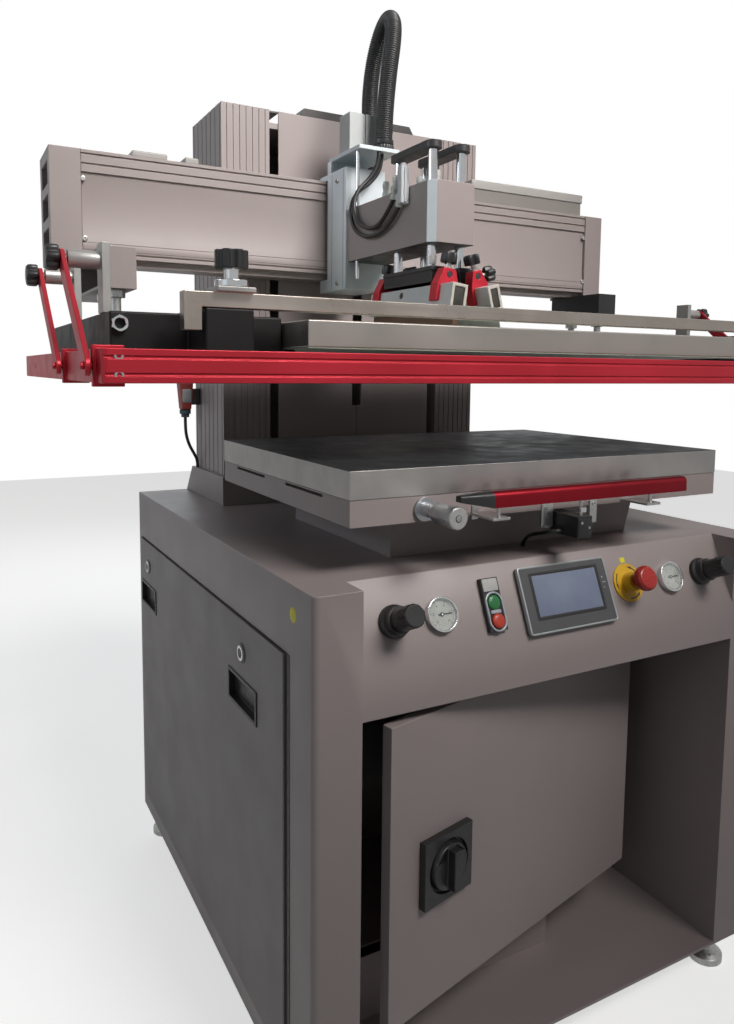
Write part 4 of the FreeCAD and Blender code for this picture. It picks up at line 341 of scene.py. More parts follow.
# clouding: soft noise of a given size, spread between a low and a high value
clouding, given, result = shared_effect("clouding", {"Scale": 10.0, "Low": 0.0, "High": 1.0},
                                        {"Value": "Float"})
spread = add_node(clouding, "MapRange", Value=noise(clouding, object_place(clouding), given["Scale"], 4.0),
                  From_Min=0.32, From_Max=0.68, To_Min=given["Low"], To_Max=given["High"])
set_inputs(clouding, result, Value=spread.outputs["Result"])

# orange_peel: the same fine relief in every direction, as a coat or a moulding has
orange_peel, given, result = shared_effect("orange_peel", {"Scale": 900.0, "Depth": 0.00005},
                                           {"Normal": "Vector"})
relief = add_node(orange_peel, "Bump", Distance=given["Depth"],
                  Height=noise(orange_peel, object_place(orange_peel), given["Scale"], 2.0))
set_inputs(orange_peel, result, Normal=relief.outputs["Normal"])

# brushing: noise drawn out along one axis, as a belt or a wheel leaves it on metal
brushing, given, result = shared_effect(
    "brushing", {"Along X": 5.0, "Along Y": 900.0, "Along Z": 900.0, "Depth": 0.00002},
    {"Streak": "Float", "Normal": "Vector"})
stretch = add_node(brushing, "CombineXYZ", X=given["Along X"], Y=given["Along Y"], Z=given["Along Z"])
drawn_out = sums(brushing, "MULTIPLY", object_place(brushing), stretch.outputs["Vector"], kind="VectorMath",
                 output="Vector")
streak = noise(brushing, drawn_out, 1.0, 4.0)
relief = add_node(brushing, "Bump", Height=streak, Distance=given["Depth"])
set_inputs(brushing, result, Streak=streak, Normal=relief.outputs["Normal"])

# Edge mask: where the surface turns sharply within a short reach, broken up by noise. Its paler tone is partly
# edge wear and partly a painted highlight along edges.
worn_and_lit_edge, given, result = shared_effect("worn_and_lit_edge", {"Reach": 0.0012, "Amount": 0.6}, {"Mask": "Float"})
softened = add_node(worn_and_lit_edge, "Bevel", Radius=given["Reach"])
softened.samples = BEVEL_SAMPLES
facing = sums(worn_and_lit_edge, "DOT_PRODUCT", softened.outputs["Normal"],
              add_node(worn_and_lit_edge, "NewGeometry").outputs["Normal"], kind="VectorMath")
turned_away = add_node(worn_and_lit_edge, "MapRange", Value=facing, From_Min=0.99, From_Max=0.85)
patchy = sums(worn_and_lit_edge, "MULTIPLY", turned_away.outputs["Result"],
              noise(worn_and_lit_edge, object_place(worn_and_lit_edge), 120.0, 3.0))
set_inputs(worn_and_lit_edge, result, Mask=sums(worn_and_lit_edge, "MULTIPLY", patchy, given["Amount"]))


def effect_node(tree, effect, **amounts):
    """The results of a shared effect placed in a material's tree, with its own amounts."""
    node = add_node(tree, "Group")
    node.node_tree = effect
    return set_inputs(tree, node, **amounts).outputs


def clouds(tree, scale, low=0.0, high=1.0):
    """Soft clouds between a low and a high value."""
    return effect_node(tree, clouding, Scale=scale, Low=low, High=high)["Value"]


def blended(tree, share, first, second):
    """The colour a share of the way from the first colour to the second."""
    node = add_node(tree, "Mix")
    node.data_type = "RGBA"
    for place, value in ((0, share), (6, first), (7, second)):
        feed(tree, node.inputs[place], value)
    return node.outputs[2]


def finish_of(name, colour, shade, roughness, patches=9.0, spread=0.06, peel=None, strokes=None, worn_lit_edges=None,
              **constants):
    """A finish: two close colours in clouds, a roughness that varies, and a fine relief or brushing.

    peel is (scale, depth), strokes is (x, y, z, depth), and the edge tone is (colour, reach, amount): a paler
    colour on sharp edges, partly wear and partly a painted highlight.
    """
    material, tree, shader = new_material(name)
    tint = blended(tree, clouds(tree, patches), (*colour, 1), (*shade, 1))
    dullness = clouds(tree, patches * DULLNESS_FINENESS, roughness - spread, roughness + spread)
    if peel:
        grain = effect_node(tree, orange_peel, Scale=peel[0], Depth=peel[1])
        set_inputs(tree, shader, Normal=grain["Normal"])
    if strokes:
        grain = effect_node(tree, brushing, Along_X=strokes[0], Along_Y=strokes[1], Along_Z=strokes[2],
                            Depth=strokes[3])
        set_inputs(tree, shader, Normal=grain["Normal"])
        dullness = sums(tree, "MULTIPLY_ADD", grain["Streak"], spread, dullness)
    if worn_lit_edges:
        edge = effect_node(tree, worn_and_lit_edge, Reach=worn_lit_edges[1], Amount=worn_lit_edges[2])
        tint = blended(tree, edge["Mask"], tint, (*worn_lit_edges[0], 1))
    set_inputs(tree, shader, Base_Color=tint, Roughness=dullness, **constants)
    return material


def coated(mesh, finish, others=()):
    """A mesh in one finish or more, shaded smooth, with a hard line where its faces meet past the crease.

    Each of the others is a finish and a test of the faces' middles, and takes the faces that pass.
    """
    mesh.materials.append(finish)
    middles = np.zeros(len(mesh.polygons) * 3)
    mesh.polygons.foreach_get("center", middles)
    finish_index = np.zeros(len(mesh.polygons), int)
    for number, (other, test) in enumerate(others, 1):
        mesh.materials.append(other)
        finish_index[test(*middles.reshape(-1, 3).T)] = number
    mesh.polygons.foreach_set("material_index", finish_index)
    mesh.polygons.foreach_set("use_smooth", np.ones(len(mesh.polygons), bool))
    mesh.set_sharp_from_angle(angle=CREASE)


def dressed(node, finish, edge=0.0006, segments=2, others=()):
    """A node's own solids with their edges rounded, in one finish or more.

    The solid's triangles are merged and its flat faces joined, under a bevel.
    """
    mesh = bpy.data.meshes.new(node + "_finished")
    shell = bmesh.new()
    shell.from_mesh(frame["nodes"][node].data)
    bmesh.ops.remove_doubles(shell, verts=shell.verts, dist=MERGE_DISTANCE)
    bmesh.ops.dissolve_limit(shell, angle_limit=FLAT, verts=shell.verts, edges=shell.edges)
    shell.to_mesh(mesh)
    shell.free()
    coated(mesh, finish, others)
    piece = bpy.data.objects.new(node + "_finished", mesh)
    scene.collection.objects.link(piece)
    if edge:
        bevel = piece.modifiers.new("broken_edges", "BEVEL")
        bevel.width = edge
        bevel.segments = segments
        bevel.limit_method = "ANGLE"
        bevel.angle_limit = CREASE
        bevel.use_clamp_overlap = False
        bevel.harden_normals = True
    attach(piece, BODY_OF[node])
    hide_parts(node)
    return piece


def gathered(shapes):
    """Several shapes as one: the later faces count on from the earlier points."""
    points = []
    faces = []
    start = 0
    for more_points, more_faces in shapes:
        points.append(more_points)
        faces.extend([[corner + start for corner in face] for face in more_faces])
        start += len(more_points)
    return np.concatenate(points), faces


def detail(name, finish, body, slot, *shapes):
    """A new piece from one shape or more, in one finish, that rides on a body."""
    piece = build(name, *gathered(shapes), body)
    coated(piece.data, finish)
    return piece


corrugated_black = finish_of("corrugated_black", (0.020, 0.020, 0.021), (0.032, 0.032, 0.034), 0.42, 20.0,
                             0.08, peel=(900.0, 0.00004))
tube_black = finish_of("tube_black", (0.012, 0.012, 0.013), (0.020, 0.020, 0.021), 0.34, 40.0,
                       peel=ROLLED)
hose.data.materials.append(corrugated_black)
for cord in plain_cords:
    cord.data.materials.append(tube_black)

taupe_coat = finish_of("taupe_powder_coat", (0.345, 0.297, 0.288), (0.322, 0.279, 0.272), 0.40, 3.5, 0.05,
                       peel=(750.0, 0.00006), worn_lit_edges=(PAINT_EDGE, 0.0025, 0.5))
dressed("cabinet_shell", taupe_coat, edge=0.0012)

# Earth label: a plain round yellow sticker on the left cheek, printed vinyl with a soft sheen.
LABEL_RADIUS = 0.0105
LABEL_THICKNESS = 0.0003
LEFTWARDS = (-1, 0, 0)
FORWARDS = (0, -1, 0)
UPWARDS = (0, 0, 1)
BACKWARDS = (0, 1, 0)


def ring(radii, sides, level):
    """Points round the z axis at one height, at one radius or at one for each side."""
    angles = np.arange(sides) * math.tau / sides
    return np.c_[radii * np.cos(angles), radii * np.sin(angles), np.full(sides, level)]


def turned_shape(profile, sides=32):
    """Points and faces of a turned piece: each (radius, height) of its profile goes round the z axis."""
    return skin([ring(radius, sides, level) for radius, level in profile])


def placed(shape, origin, facing=UPWARDS, along=None):
    """A shape with its z axis turned to face a direction and its x axis to lie along another."""
    points, faces = shape
    facing = np.array(facing, float) / np.linalg.norm(facing)
    if along is None:
        along = BACKWARDS if abs(facing[0]) > 0.9 else (1, 0, 0)
    along = np.array(along, float) - facing * np.dot(along, facing)
    along /= np.linalg.norm(along)
    return points @ np.stack([along, np.cross(facing, along), facing]) + np.array(origin), faces


yellow_vinyl = finish_of("yellow_vinyl", (0.85, 0.78, 0.04), (0.76, 0.69, 0.035), 0.45, 60.0,
                         peel=ROLLED)
label = turned_shape([(LABEL_RADIUS, 0), (LABEL_RADIUS, LABEL_THICKNESS * 0.7),
                      (LABEL_RADIUS * 0.97, LABEL_THICKNESS)])
detail("cheek_sticker", yellow_vinyl, "base", "yellow_plastic",
       placed(label, (-0.435, -0.4143, 0.7695), LEFTWARDS))

# Levelling feet: four zinc plated steel pads on threaded stems, each with a lock nut under the floor.
zinc_plate = finish_of("zinc_plate", (0.62, 0.62, 0.60), (0.50, 0.51, 0.50), 0.34, 70.0, 0.08,
                       peel=(1600.0, 0.00003), worn_lit_edges=((0.8, 0.8, 0.78), 0.0008, 0.7), Metallic=0.9)
dressed("levelling_feet", zinc_plate, edge=0.0008)

# Electrical box: a folded steel box in the knee recess, painted inside and out, with three grey
# control modules on its back wall and the hinge pins of its door.
MODULES_MIDDLE = (-0.044, -0.1015, 0.3965)
MODULES_HALF = (0.176, 0.037, 0.056)


def among_modules(x, y, z):
    """True for the faces of the three modules, which lie within one block of room."""
    return np.all([abs(value - middle) < half for value, middle, half
                   in zip((x, y, z), MODULES_MIDDLE, MODULES_HALF)], axis=0)


module_plastic = finish_of("module_plastic", (0.10, 0.105, 0.11), (0.085, 0.09, 0.095), 0.5, 25.0,
                           peel=(1400.0, 0.00004))
dressed("electrical_box", taupe_coat, edge=0.0008, others=[(module_plastic, among_modules)])

# Electrical door: one folded sheet hung ajar, with the main switch on it. The switch has a square
# black plate held by four screws, a ring round it, and a knob with a raised grip.
black_plastic = finish_of("black_plastic", (0.016, 0.016, 0.017), (0.024, 0.024, 0.025), 0.38, 30.0, 0.08,
                          peel=(1300.0, 0.00004), worn_lit_edges=((0.06, 0.06, 0.06), 0.0006, 0.6))
dressed("electrical_door", taupe_coat, edge=0.0010)
dressed("main_switch_plate", black_plastic, edge=0.0012, segments=3)
dressed("main_switch_knob", black_plastic, edge=0.0015, segments=3)

# Side cover: a lift-off tray of folded sheet with two black cup handles and two cam locks of
# polished steel. Each lock has a slotted head, and a dark seam runs down the cover's front edge.
LOCK_PLACES = {"front_cam_lock": -0.222, "rear_cam_lock": 0.385}
LOCK_UP = 0.656
COVER_FACE = -0.4380
LOCK_FACE = -0.4420
polished_steel = finish_of("polished_steel", (0.80, 0.81, 0.82), (0.70, 0.71, 0.72), 0.14, 50.0, 0.04,
                           peel=(1200.0, 0.000006), Metallic=1.0)
# The side cover takes a darker copy of the taupe coat: painted shade on the cover.
shaded_cover_coat = finish_of("shaded_cover_coat", (0.225, 0.200, 0.200), (0.205, 0.185, 0.187), 0.44, 3.5, 0.05,
                       peel=(750.0, 0.00006), worn_lit_edges=(PAINT_EDGE, 0.0025, 0.4))
dressed("left_side_cover", shaded_cover_coat, edge=0.0010)
dressed("cup_handles", black_plastic, edge=0.0010, segments=3)
dressed("front_cam_lock", polished_steel)
dressed("rear_cam_lock", polished_steel)
washer_shape = turned_shape([(0.0160, 0), (0.0160, 0.0006), (0.0152, 0.0010)], 40)
detail("lock_washers", black_plastic, "base", "black_rubber",
       *[placed(washer_shape, (COVER_FACE, y, LOCK_UP), LEFTWARDS) for y in LOCK_PLACES.values()])
for name, lock_y in LOCK_PLACES.items():
    detail(name + "_centre", black_plastic, name, "black_plastic",
           placed(turned_shape([(0.0080, 0), (0.0078, 0.0003)]), (LOCK_FACE, lock_y, LOCK_UP), LEFTWARDS))


def bar_shape(length, width, thickness):
    """A flat bar from its middle: a slab with square ends."""
    x, y = length / 2, width / 2
    outline = np.array([(x, y), (-x, y), (-x, -y), (x, -y)])
    return skin([np.c_[outline, np.full(4, level)] for level in (0, thickness)])


detail("cover_joint_strips", black_plastic, "base", "black_rubber",
       placed(bar_shape(0.6120, 0.0090, 0.0008), (-0.4350, -0.3977, 0.4045), LEFTWARDS, UPWARDS),
       placed(bar_shape(0.6060, 0.0045, 0.0006), (COVER_FACE, -0.3877, 0.4040), LEFTWARDS, UPWARDS))

# Regulators: black moulded nuts on the console with fluted black knobs, which set the squeegee's
# and the flood bar's pressure.
dressed("panel_bezels", black_plastic)
dressed("left_regulator_knob", black_plastic, edge=0.0005)
dressed("right_regulator_knob", black_plastic, edge=0.0005)

# Pressure gauges: polished steel bezels over pale dials with ticks and numbers, a black pointer
# and a flat lens.
CONSOLE_FOOT = Vector((0.0, -0.480, 0.695))
CONSOLE_UP = Vector((0.0, 50.0, 115.0)).normalized()
CONSOLE_OUT = Vector((0.0, -115.0, 50.0)).normalized()
GAUGE_PLACES = (-0.229, 0.229)
GAUGE_UP = 0.062
DIAL_FACE = 0.0041
DIAL_RADIUS = 0.0215
DIAL_PRINT = 0.0001
PRINT_LIFT = 0.00015
FIRST_TICK = math.radians(225)
TICK_SWEEP = math.radians(270)
TICK_COUNT = 51
TICKS_PER_NUMBER = 10
DIAL_NUMBERS = 6


def on_panel(shape, across, up, out=0.0, along=None):
    """A shape that stands on the console: placed across it, up its slope, and out from its face."""
    place = CONSOLE_FOOT + Vector((across, 0, 0)) + CONSOLE_UP * up + CONSOLE_OUT * out
    return placed(shape, place, CONSOLE_OUT, along)


def figure(text, size, thickness):
    """A number as raised faces: a text object's own outline, made a mesh, centred on its place."""
    curve = bpy.data.curves.new("figure", "FONT")
    curve.body = text
    curve.size = size
    curve.extrude = thickness / 2
    curve.align_x = "CENTER"
    curve.align_y = "CENTER"
    points, faces = baked(curve)
    return points + (0, 0, thickness / 2), faces


def on_dial(shape, gauge_x, angle, radius, turned=False):
    """A shape printed on a gauge's dial, at an angle and a radius, upright or turned outwards."""
    outward = Vector((math.cos(angle), 0, 0)) + CONSOLE_UP * math.sin(angle)
    return on_panel(shape, gauge_x + math.cos(angle) * radius, GAUGE_UP + math.sin(angle) * radius,
                    DIAL_FACE + PRINT_LIFT, outward if turned else None)


dial_enamel = finish_of("dial_enamel", (0.50, 0.49, 0.45), (0.44, 0.43, 0.39), 0.4, 80.0, peel=PRINTED)
dial_ink = finish_of("dial_ink", (0.02, 0.02, 0.02), (0.03, 0.03, 0.03), 0.5, 80.0)
needle_black = finish_of("needle_black", (0.015, 0.015, 0.015), (0.03, 0.03, 0.03), 0.4, 120.0)
glass = finish_of("clear_glass", (0.96, 0.98, 0.98), (0.94, 0.97, 0.97), 0.03, 40.0, 0.02,
                  Transmission_Weight=1.0, IOR=1.45)
dial_shapes = []
mark_shapes = []
for gauge_x in GAUGE_PLACES:
    dial_shapes.append(on_panel(turned_shape([(DIAL_RADIUS, -0.00005), (DIAL_RADIUS, 0.00015)], 48),
                                gauge_x, GAUGE_UP, DIAL_FACE))
    for number, angle in enumerate(FIRST_TICK - np.linspace(0, TICK_SWEEP, TICK_COUNT)):
        length, width = (0.0034, 0.0007) if number % TICKS_PER_NUMBER == 0 else (0.0018, 0.00035)
        mark_shapes.append(on_dial(bar_shape(length, width, DIAL_PRINT), gauge_x, angle,
                                   DIAL_RADIUS - 0.001 - length / 2, turned=True))
    for number, angle in enumerate(FIRST_TICK - np.linspace(0, TICK_SWEEP, DIAL_NUMBERS)):
        mark_shapes.append(on_dial(figure(str(number * 2), 0.0048, DIAL_PRINT), gauge_x, angle,
                                   DIAL_RADIUS - 0.0080))
detail("gauge_dials", dial_enamel, "base", "pale_plastic", *dial_shapes)
detail("dial_markings", dial_ink, "base", "black_paint", *mark_shapes)
dressed("gauge_cases", polished_steel, edge=0.0008, segments=3)
dressed("left_gauge_needle", needle_black, edge=0)
dressed("right_gauge_needle", needle_black, edge=0)

# Touch screen: a dark moulded housing with a silver rim, a black frame and a lit blue-grey panel
# behind glass, with a small lamp and small marks at its right.
SCREEN_SIZE = (0.174, 0.1005)
SCREEN_UP = 0.060
WINDOW_SIZE = (0.130, 0.064)
WINDOW_UP = 0.065
SCREEN_TOP = 0.010
SCREEN_BLUE = (0.155, 0.185, 0.27, 1)
SCREEN_BLUE_LOW = (0.20, 0.24, 0.32, 1)
SCREEN_GLOW = 0.10
CORNER_STEPS = 6
SHARPEST = 0.0003
SCREEN_MARKS = [(0.0745, 0.079, 0.0014), (0.0745, 0.071, 0.0011), (0.0785, 0.071, 0.0011),
                (0.0745, 0.063, 0.0009)]


def rounded_ring(width, height, corner, level):
    """Points round a rectangle whose corners are quarter circles about their own centres."""
    angles = np.linspace(0, math.pi / 2, CORNER_STEPS)[None, :] + np.arange(4)[:, None] * math.pi / 2
    centres = np.array([(1, 1), (-1, 1), (-1, -1), (1, -1)]) * (width / 2 - corner, height / 2 - corner)
    outline = (centres[:, None, :] + corner * np.stack([np.cos(angles), np.sin(angles)], -1)).reshape(-1, 2)
    return np.c_[outline, np.full(len(outline), level)]


def slab(width, height, corner, thickness, edge, steps=4):
    """A plate with a rounded upper edge: near its top the outline draws in along a quarter circle."""
    lean = np.linspace(0, math.pi / 2, steps)
    insets = np.r_[0, edge * (1 - np.cos(lean))]
    levels = np.r_[0, thickness - edge + edge * np.sin(lean)]
    return skin([rounded_ring(width - 2 * inset, height - 2 * inset, corner - inset, level)
                 for inset, level in zip(insets, levels)])


def hollow_skin(rings):
    """Points and faces of a skin whose last ring joins its first, so that it is open in the middle."""
    rings = np.array(rings)
    count, sides = rings.shape[:2]
    return rings.reshape(-1, 3), quads_between(count, sides, count)


def picture_frame(width, height, member, corner, thickness, edge):
    """A rounded frame: one closed section, carried round the outline from its outside to its inside."""
    section = [(0, 0), (0, thickness - edge), (edge * 0.3, thickness - edge * 0.3), (edge, thickness),
               (member - edge, thickness), (member - edge * 0.3, thickness - edge * 0.3),
               (member, thickness - edge), (member, 0)]
    return hollow_skin([rounded_ring(width - 2 * inset, height - 2 * inset, max(corner - inset, SHARPEST),
                                     level) for inset, level in section])


housing_plastic = finish_of("housing_plastic", (0.080, 0.083, 0.086), (0.070, 0.073, 0.077), 0.48, 18.0,
                            peel=(1500.0, 0.00003))
silver_trim = finish_of("silver_trim", (0.42, 0.45, 0.46), (0.36, 0.39, 0.40), 0.32, 30.0,
                        strokes=(8.0, 900.0, 900.0, 0.000006), Metallic=0.7)
lit_panel, panel_tree, panel_shader = new_material("lit_panel")
panel_colour = blended(panel_tree, clouds(panel_tree, 14.0), SCREEN_BLUE, SCREEN_BLUE_LOW)
set_inputs(panel_tree, panel_shader, Base_Color=panel_colour, Emission_Color=panel_colour,
           Emission_Strength=SCREEN_GLOW, Roughness=clouds(panel_tree, 25.0, 0.12, 0.2))
dressed("touch_screen_housing", housing_plastic, edge=0.0010, segments=3)
rim = picture_frame(SCREEN_SIZE[0] + 0.0006, SCREEN_SIZE[1] + 0.0006, 0.0030, 0.0052, 0.0060, 0.0008)
detail("screen_rim", silver_trim, "base", "satin_aluminium", on_panel(rim, 0, SCREEN_UP, 0.0045))
bezel = picture_frame(WINDOW_SIZE[0] + 0.007, WINDOW_SIZE[1] + 0.007, 0.0045, 0.0020, 0.0009, 0.0003)
detail("screen_bezel", black_plastic, "base", "black_plastic", on_panel(bezel, 0, WINDOW_UP, SCREEN_TOP))
panel = slab(WINDOW_SIZE[0] - 0.003, WINDOW_SIZE[1] - 0.003, 0.0012, 0.0002, 0.0001)
detail("screen_panel", lit_panel, "base", "clear_glass", on_panel(panel, 0, WINDOW_UP, SCREEN_TOP + 0.0001))
marks = [on_panel(turned_shape([(radius, 0), (radius, 0.0003), (radius * 0.6, 0.0005)], 16), across, up,
                  SCREEN_TOP) for across, up, radius in SCREEN_MARKS]
detail("screen_lamps", silver_trim, "base", "satin_aluminium", *marks)
dressed("console_windows", glass, edge=0)

# Twin push button: a pale oval bezel that holds a green start cap, a pale lens and a red stop
# cap, under a grey legend plate. The caps are domed and travel a few millimetres.
BUTTON_ACROSS = -0.140
START_UP = 0.067
STOP_UP = 0.040
LEGEND_UP = 0.0925
BUTTON_PLATE_TOP = 0.008
CAP_RADIUS = 0.0104
green_cap = finish_of("green_button", (0.025, 0.20, 0.055), (0.02, 0.17, 0.05), 0.32, 60.0, peel=MOULDED)
red_cap = finish_of("red_button", (0.55, 0.055, 0.030), (0.48, 0.045, 0.025), 0.34, 60.0, peel=MOULDED)
lens_white = finish_of("lens_white", (0.42, 0.46, 0.50), (0.36, 0.40, 0.44), 0.22, 60.0,
                       peel=(1200.0, 0.00001))
legend_grey = finish_of("legend_plate", (0.50, 0.50, 0.49), (0.44, 0.44, 0.43), 0.42, 80.0,
                        strokes=(900.0, 12.0, 12.0, 0.00001))


def dome(outer, inner, foot, crown, sides=40, steps=10):
    """A domed button face: its height falls from the crown as the fourth power of the distance out."""
    radii = np.linspace(outer, inner, steps)
    levels = foot + (crown - foot) * (1 - (radii / outer) ** 4)
    return turned_shape(np.c_[np.r_[outer, radii], np.r_[foot - 0.001, levels]], sides)


dressed("start_button", green_cap, edge=0.0003)
dressed("stop_button", red_cap, edge=0.0003)
detail("start_face", green_cap, "start_button", "green_plastic",
       on_panel(dome(CAP_RADIUS, 0.0004, 0.0098, 0.0118), BUTTON_ACROSS, START_UP))
detail("stop_face", red_cap, "stop_button", "red_plastic",
       on_panel(dome(CAP_RADIUS, 0.0004, 0.0118, 0.0142), BUTTON_ACROSS, STOP_UP))
middle_up = (START_UP + STOP_UP) / 2
oval = picture_frame(0.0308, 0.0582, 0.0030, 0.0152, 0.0030, 0.0009)
detail("button_bezel", lens_white, "base", "pale_plastic",
       on_panel(oval, BUTTON_ACROSS, middle_up, BUTTON_PLATE_TOP - 0.0002))
detail("button_lens", lens_white, "base", "pale_plastic",
       on_panel(slab(0.0180, 0.0055, 0.0024, 0.0022, 0.0008), BUTTON_ACROSS, middle_up, BUTTON_PLATE_TOP))
detail("legend_plate", legend_grey, "base", "pale_plastic",
       on_panel(slab(0.0262, 0.0180, 0.0012, 0.0010, 0.0004), BUTTON_ACROSS, LEGEND_UP, BUTTON_PLATE_TOP))

# Emergency stop: a red mushroom head on a yellow disc. The disc is bare but for three turn arrows,
# and a small bare yellow tag is stuck to the console above it.
STOP_ACROSS = 0.1355
STOP_HEAD_UP = 0.064
DISC_TOP = 0.0025
ARROW_STARTS = (20, 140, 260)
ARROW_SWEEP = math.radians(62)
ARROW_NECK = 0.62
stop_red = finish_of("stop_red", (0.46, 0.030, 0.022), (0.40, 0.024, 0.018), 0.30, 45.0,
                     peel=(1100.0, 0.00002))
disc_yellow = finish_of("disc_yellow", (0.72, 0.44, 0.025), (0.66, 0.39, 0.02), 0.42, 45.0,
                        peel=(1300.0, 0.00002))
dressed("emergency_stop_collar", disc_yellow, edge=0.0005)
dressed("emergency_stop_head", stop_red, edge=0.0022, segments=4)


def arrow_shape(radius, start, sweep, width, thickness, steps=14):
    """A curved arrow: a band round a centre whose width grows to a head and falls to its tip."""
    share = np.linspace(0, 1, steps)
    head = width * 1.25 * (1 - (share - ARROW_NECK) / (1 - ARROW_NECK))
    half = np.where(share < ARROW_NECK, width / 2, head) + 0.00005
    angle = start + sweep * share
    rings = []
    for out, level in ((1, 0), (1, thickness), (-1, thickness), (-1, 0)):
        rings.append(np.c_[(radius + out * half) * np.cos(angle), (radius + out * half) * np.sin(angle),
                           np.full(steps, level)])
    return skin(np.stack(rings, 1))


detail("turn_arrows", dial_ink, "base", "black_paint",
       *[on_panel(arrow_shape(0.0255, math.radians(turn), ARROW_SWEEP, 0.0018, 0.00012),
                  STOP_ACROSS, STOP_HEAD_UP, DISC_TOP) for turn in ARROW_STARTS])
detail("console_tag", yellow_vinyl, "base", "yellow_plastic",
       on_panel(slab(0.0105, 0.0085, 0.0008, 0.0004, 0.0002), 0.1365, 0.1010))

# Pedestal and carrier: a trapezoid of folded steel on the deck, and the folded tray on it with the
# touch bar's two guides and the limit switch's bracket. Both are powder coated.
steel_bright = finish_of("bright_steel", (0.55, 0.55, 0.53), (0.46, 0.46, 0.45), 0.30, 50.0,
                         strokes=(500.0, 500.0, 12.0, 0.00001), Metallic=0.95)
dressed("table_pedestal", taupe_coat, edge=0.0012)
dressed("table_carrier", taupe_coat, edge=0.0008, others=[(steel_bright, lambda x, y, z: y < -0.4325)])

# Printing table: a thick aluminium plate, ground on top and milled on its edges, with small
# scratches from work. It slides on the carrier.
# Paler metal on the table's sharp edges: partly wear, partly a painted highlight.
WORN_AND_LIT_METAL_EDGE = ((0.6, 0.6, 0.6), 0.0010, 0.6)
# The top is a darker, bluer copy of the plate's metal than its milled edges: painted shade and a painted dark
# reflection.
shaded_ground_plate = finish_of("shaded_ground_plate", (0.17, 0.185, 0.20), (0.13, 0.145, 0.16), 0.40, 6.0, 0.10,
                         strokes=(3.0, 700.0, 700.0, 0.000012), worn_lit_edges=WORN_AND_LIT_METAL_EDGE, Metallic=0.85)
milled_edge = finish_of("milled_edge", (0.46, 0.44, 0.42), (0.37, 0.36, 0.35), 0.38, 12.0, 0.08,
                        strokes=(6.0, 6.0, 600.0, 0.000012), worn_lit_edges=WORN_AND_LIT_METAL_EDGE, Metallic=0.75)
dressed("table_top", shaded_ground_plate, edge=0.0010, others=[(milled_edge, lambda x, y, z: z < 0.9585)])

# Micrometer: a satin chromed sleeve and thimble that feed the table, the thimble with a knurled
# grip, a pale face with a screw, and fine divisions round its mouth.
MICROMETER_X = -0.244
MICROMETER_UP = 0.900
THIMBLE_END = -0.516
FACE_PROUD = 0.0007
KNURL_RADIUS = 0.01518
KNURL_FRONT = -0.5125
KNURL_REAR = -0.4960
KNURL_TEETH = 60
DIVISIONS = 50
DIVISION_RADIUS = 0.01502
DIVISION_Y = -0.4745
satin_chrome = finish_of("satin_chrome", (0.50, 0.52, 0.54), (0.42, 0.44, 0.46), 0.30, 60.0,
                         strokes=(10.0, 900.0, 10.0, 0.00001), Metallic=0.9)
pale_face = finish_of("pale_face", (0.52, 0.52, 0.51), (0.46, 0.46, 0.45), 0.36, 120.0,
                      peel=PRINTED, Metallic=0.4)
dressed("micrometer_sleeve", satin_chrome, edge=0.0004)
dressed("micrometer_thimble", satin_chrome)


def knurled_band(radius, depth, teeth, low, high, sides_per_tooth=4):
    """A knurled band: its radius falls and rises once a tooth, and fades out to both rims."""
    sides = teeth * sides_per_tooth
    wave = 0.5 - 0.5 * np.cos(np.arange(sides) * math.tau / sides * teeth)
    return skin([ring(radius - 0.0004 * (1 - share) - depth * share * wave, sides, level)
                 for level, share in ((low, 0.0), (low + 0.0006, 1.0), (high - 0.0006, 1.0), (high, 0.0))])


def on_thimble(name, finish, slot, shape, y=0.0):
    """A new piece on the thimble's axis, facing forwards."""
    place = (MICROMETER_X, y, MICROMETER_UP)
    detail(name, finish, "micrometer_thimble", slot, placed(shape, place, FORWARDS))


on_thimble("thimble_knurl", satin_chrome, "polished_steel",
           knurled_band(KNURL_RADIUS, 0.0004, KNURL_TEETH, -KNURL_REAR, -KNURL_FRONT))
on_thimble("thimble_face", pale_face, "polished_steel",
           turned_shape([(0.0141, -THIMBLE_END - 0.0010), (0.0141, -THIMBLE_END + 0.0003),
                         (0.0136, -THIMBLE_END + FACE_PROUD), (0.0062, -THIMBLE_END + FACE_PROUD)], 40))
on_thimble("thimble_groove", dial_ink, "black_paint",
           turned_shape([(0.0050, 0), (0.0050, 0.0001), (0.0048, 0.0002)]), THIMBLE_END - FACE_PROUD)
on_thimble("thimble_screw", satin_chrome, "polished_steel",
           turned_shape([(0.0040, 0), (0.0040, 0.0004), (0.0034, 0.0006), (0.0012, 0.0006),
                         (0.0010, 0.0001)], 28), THIMBLE_END - 0.0009)
detail("stop_plate", steel_bright, "base", "zinc_steel",
       placed(slab(0.0110, 0.0210, 0.0008, 0.0016, 0.0005), (-0.1570, -0.4330, 0.8890), FORWARDS))
division_marks = []
for number, angle in enumerate(np.arange(DIVISIONS) * math.tau / DIVISIONS):
    outward = np.array([math.cos(angle), 0, math.sin(angle)])
    mark = bar_shape(0.0042 if number % 5 == 0 else 0.0026, 0.0003, 0.00008)
    division_marks.append(placed(mark, outward * DIVISION_RADIUS + (MICROMETER_X, DIVISION_Y, MICROMETER_UP),
                                 outward, BACKWARDS))
detail("thimble_divisions", dial_ink, "micrometer_thimble", "black_paint", *division_marks)

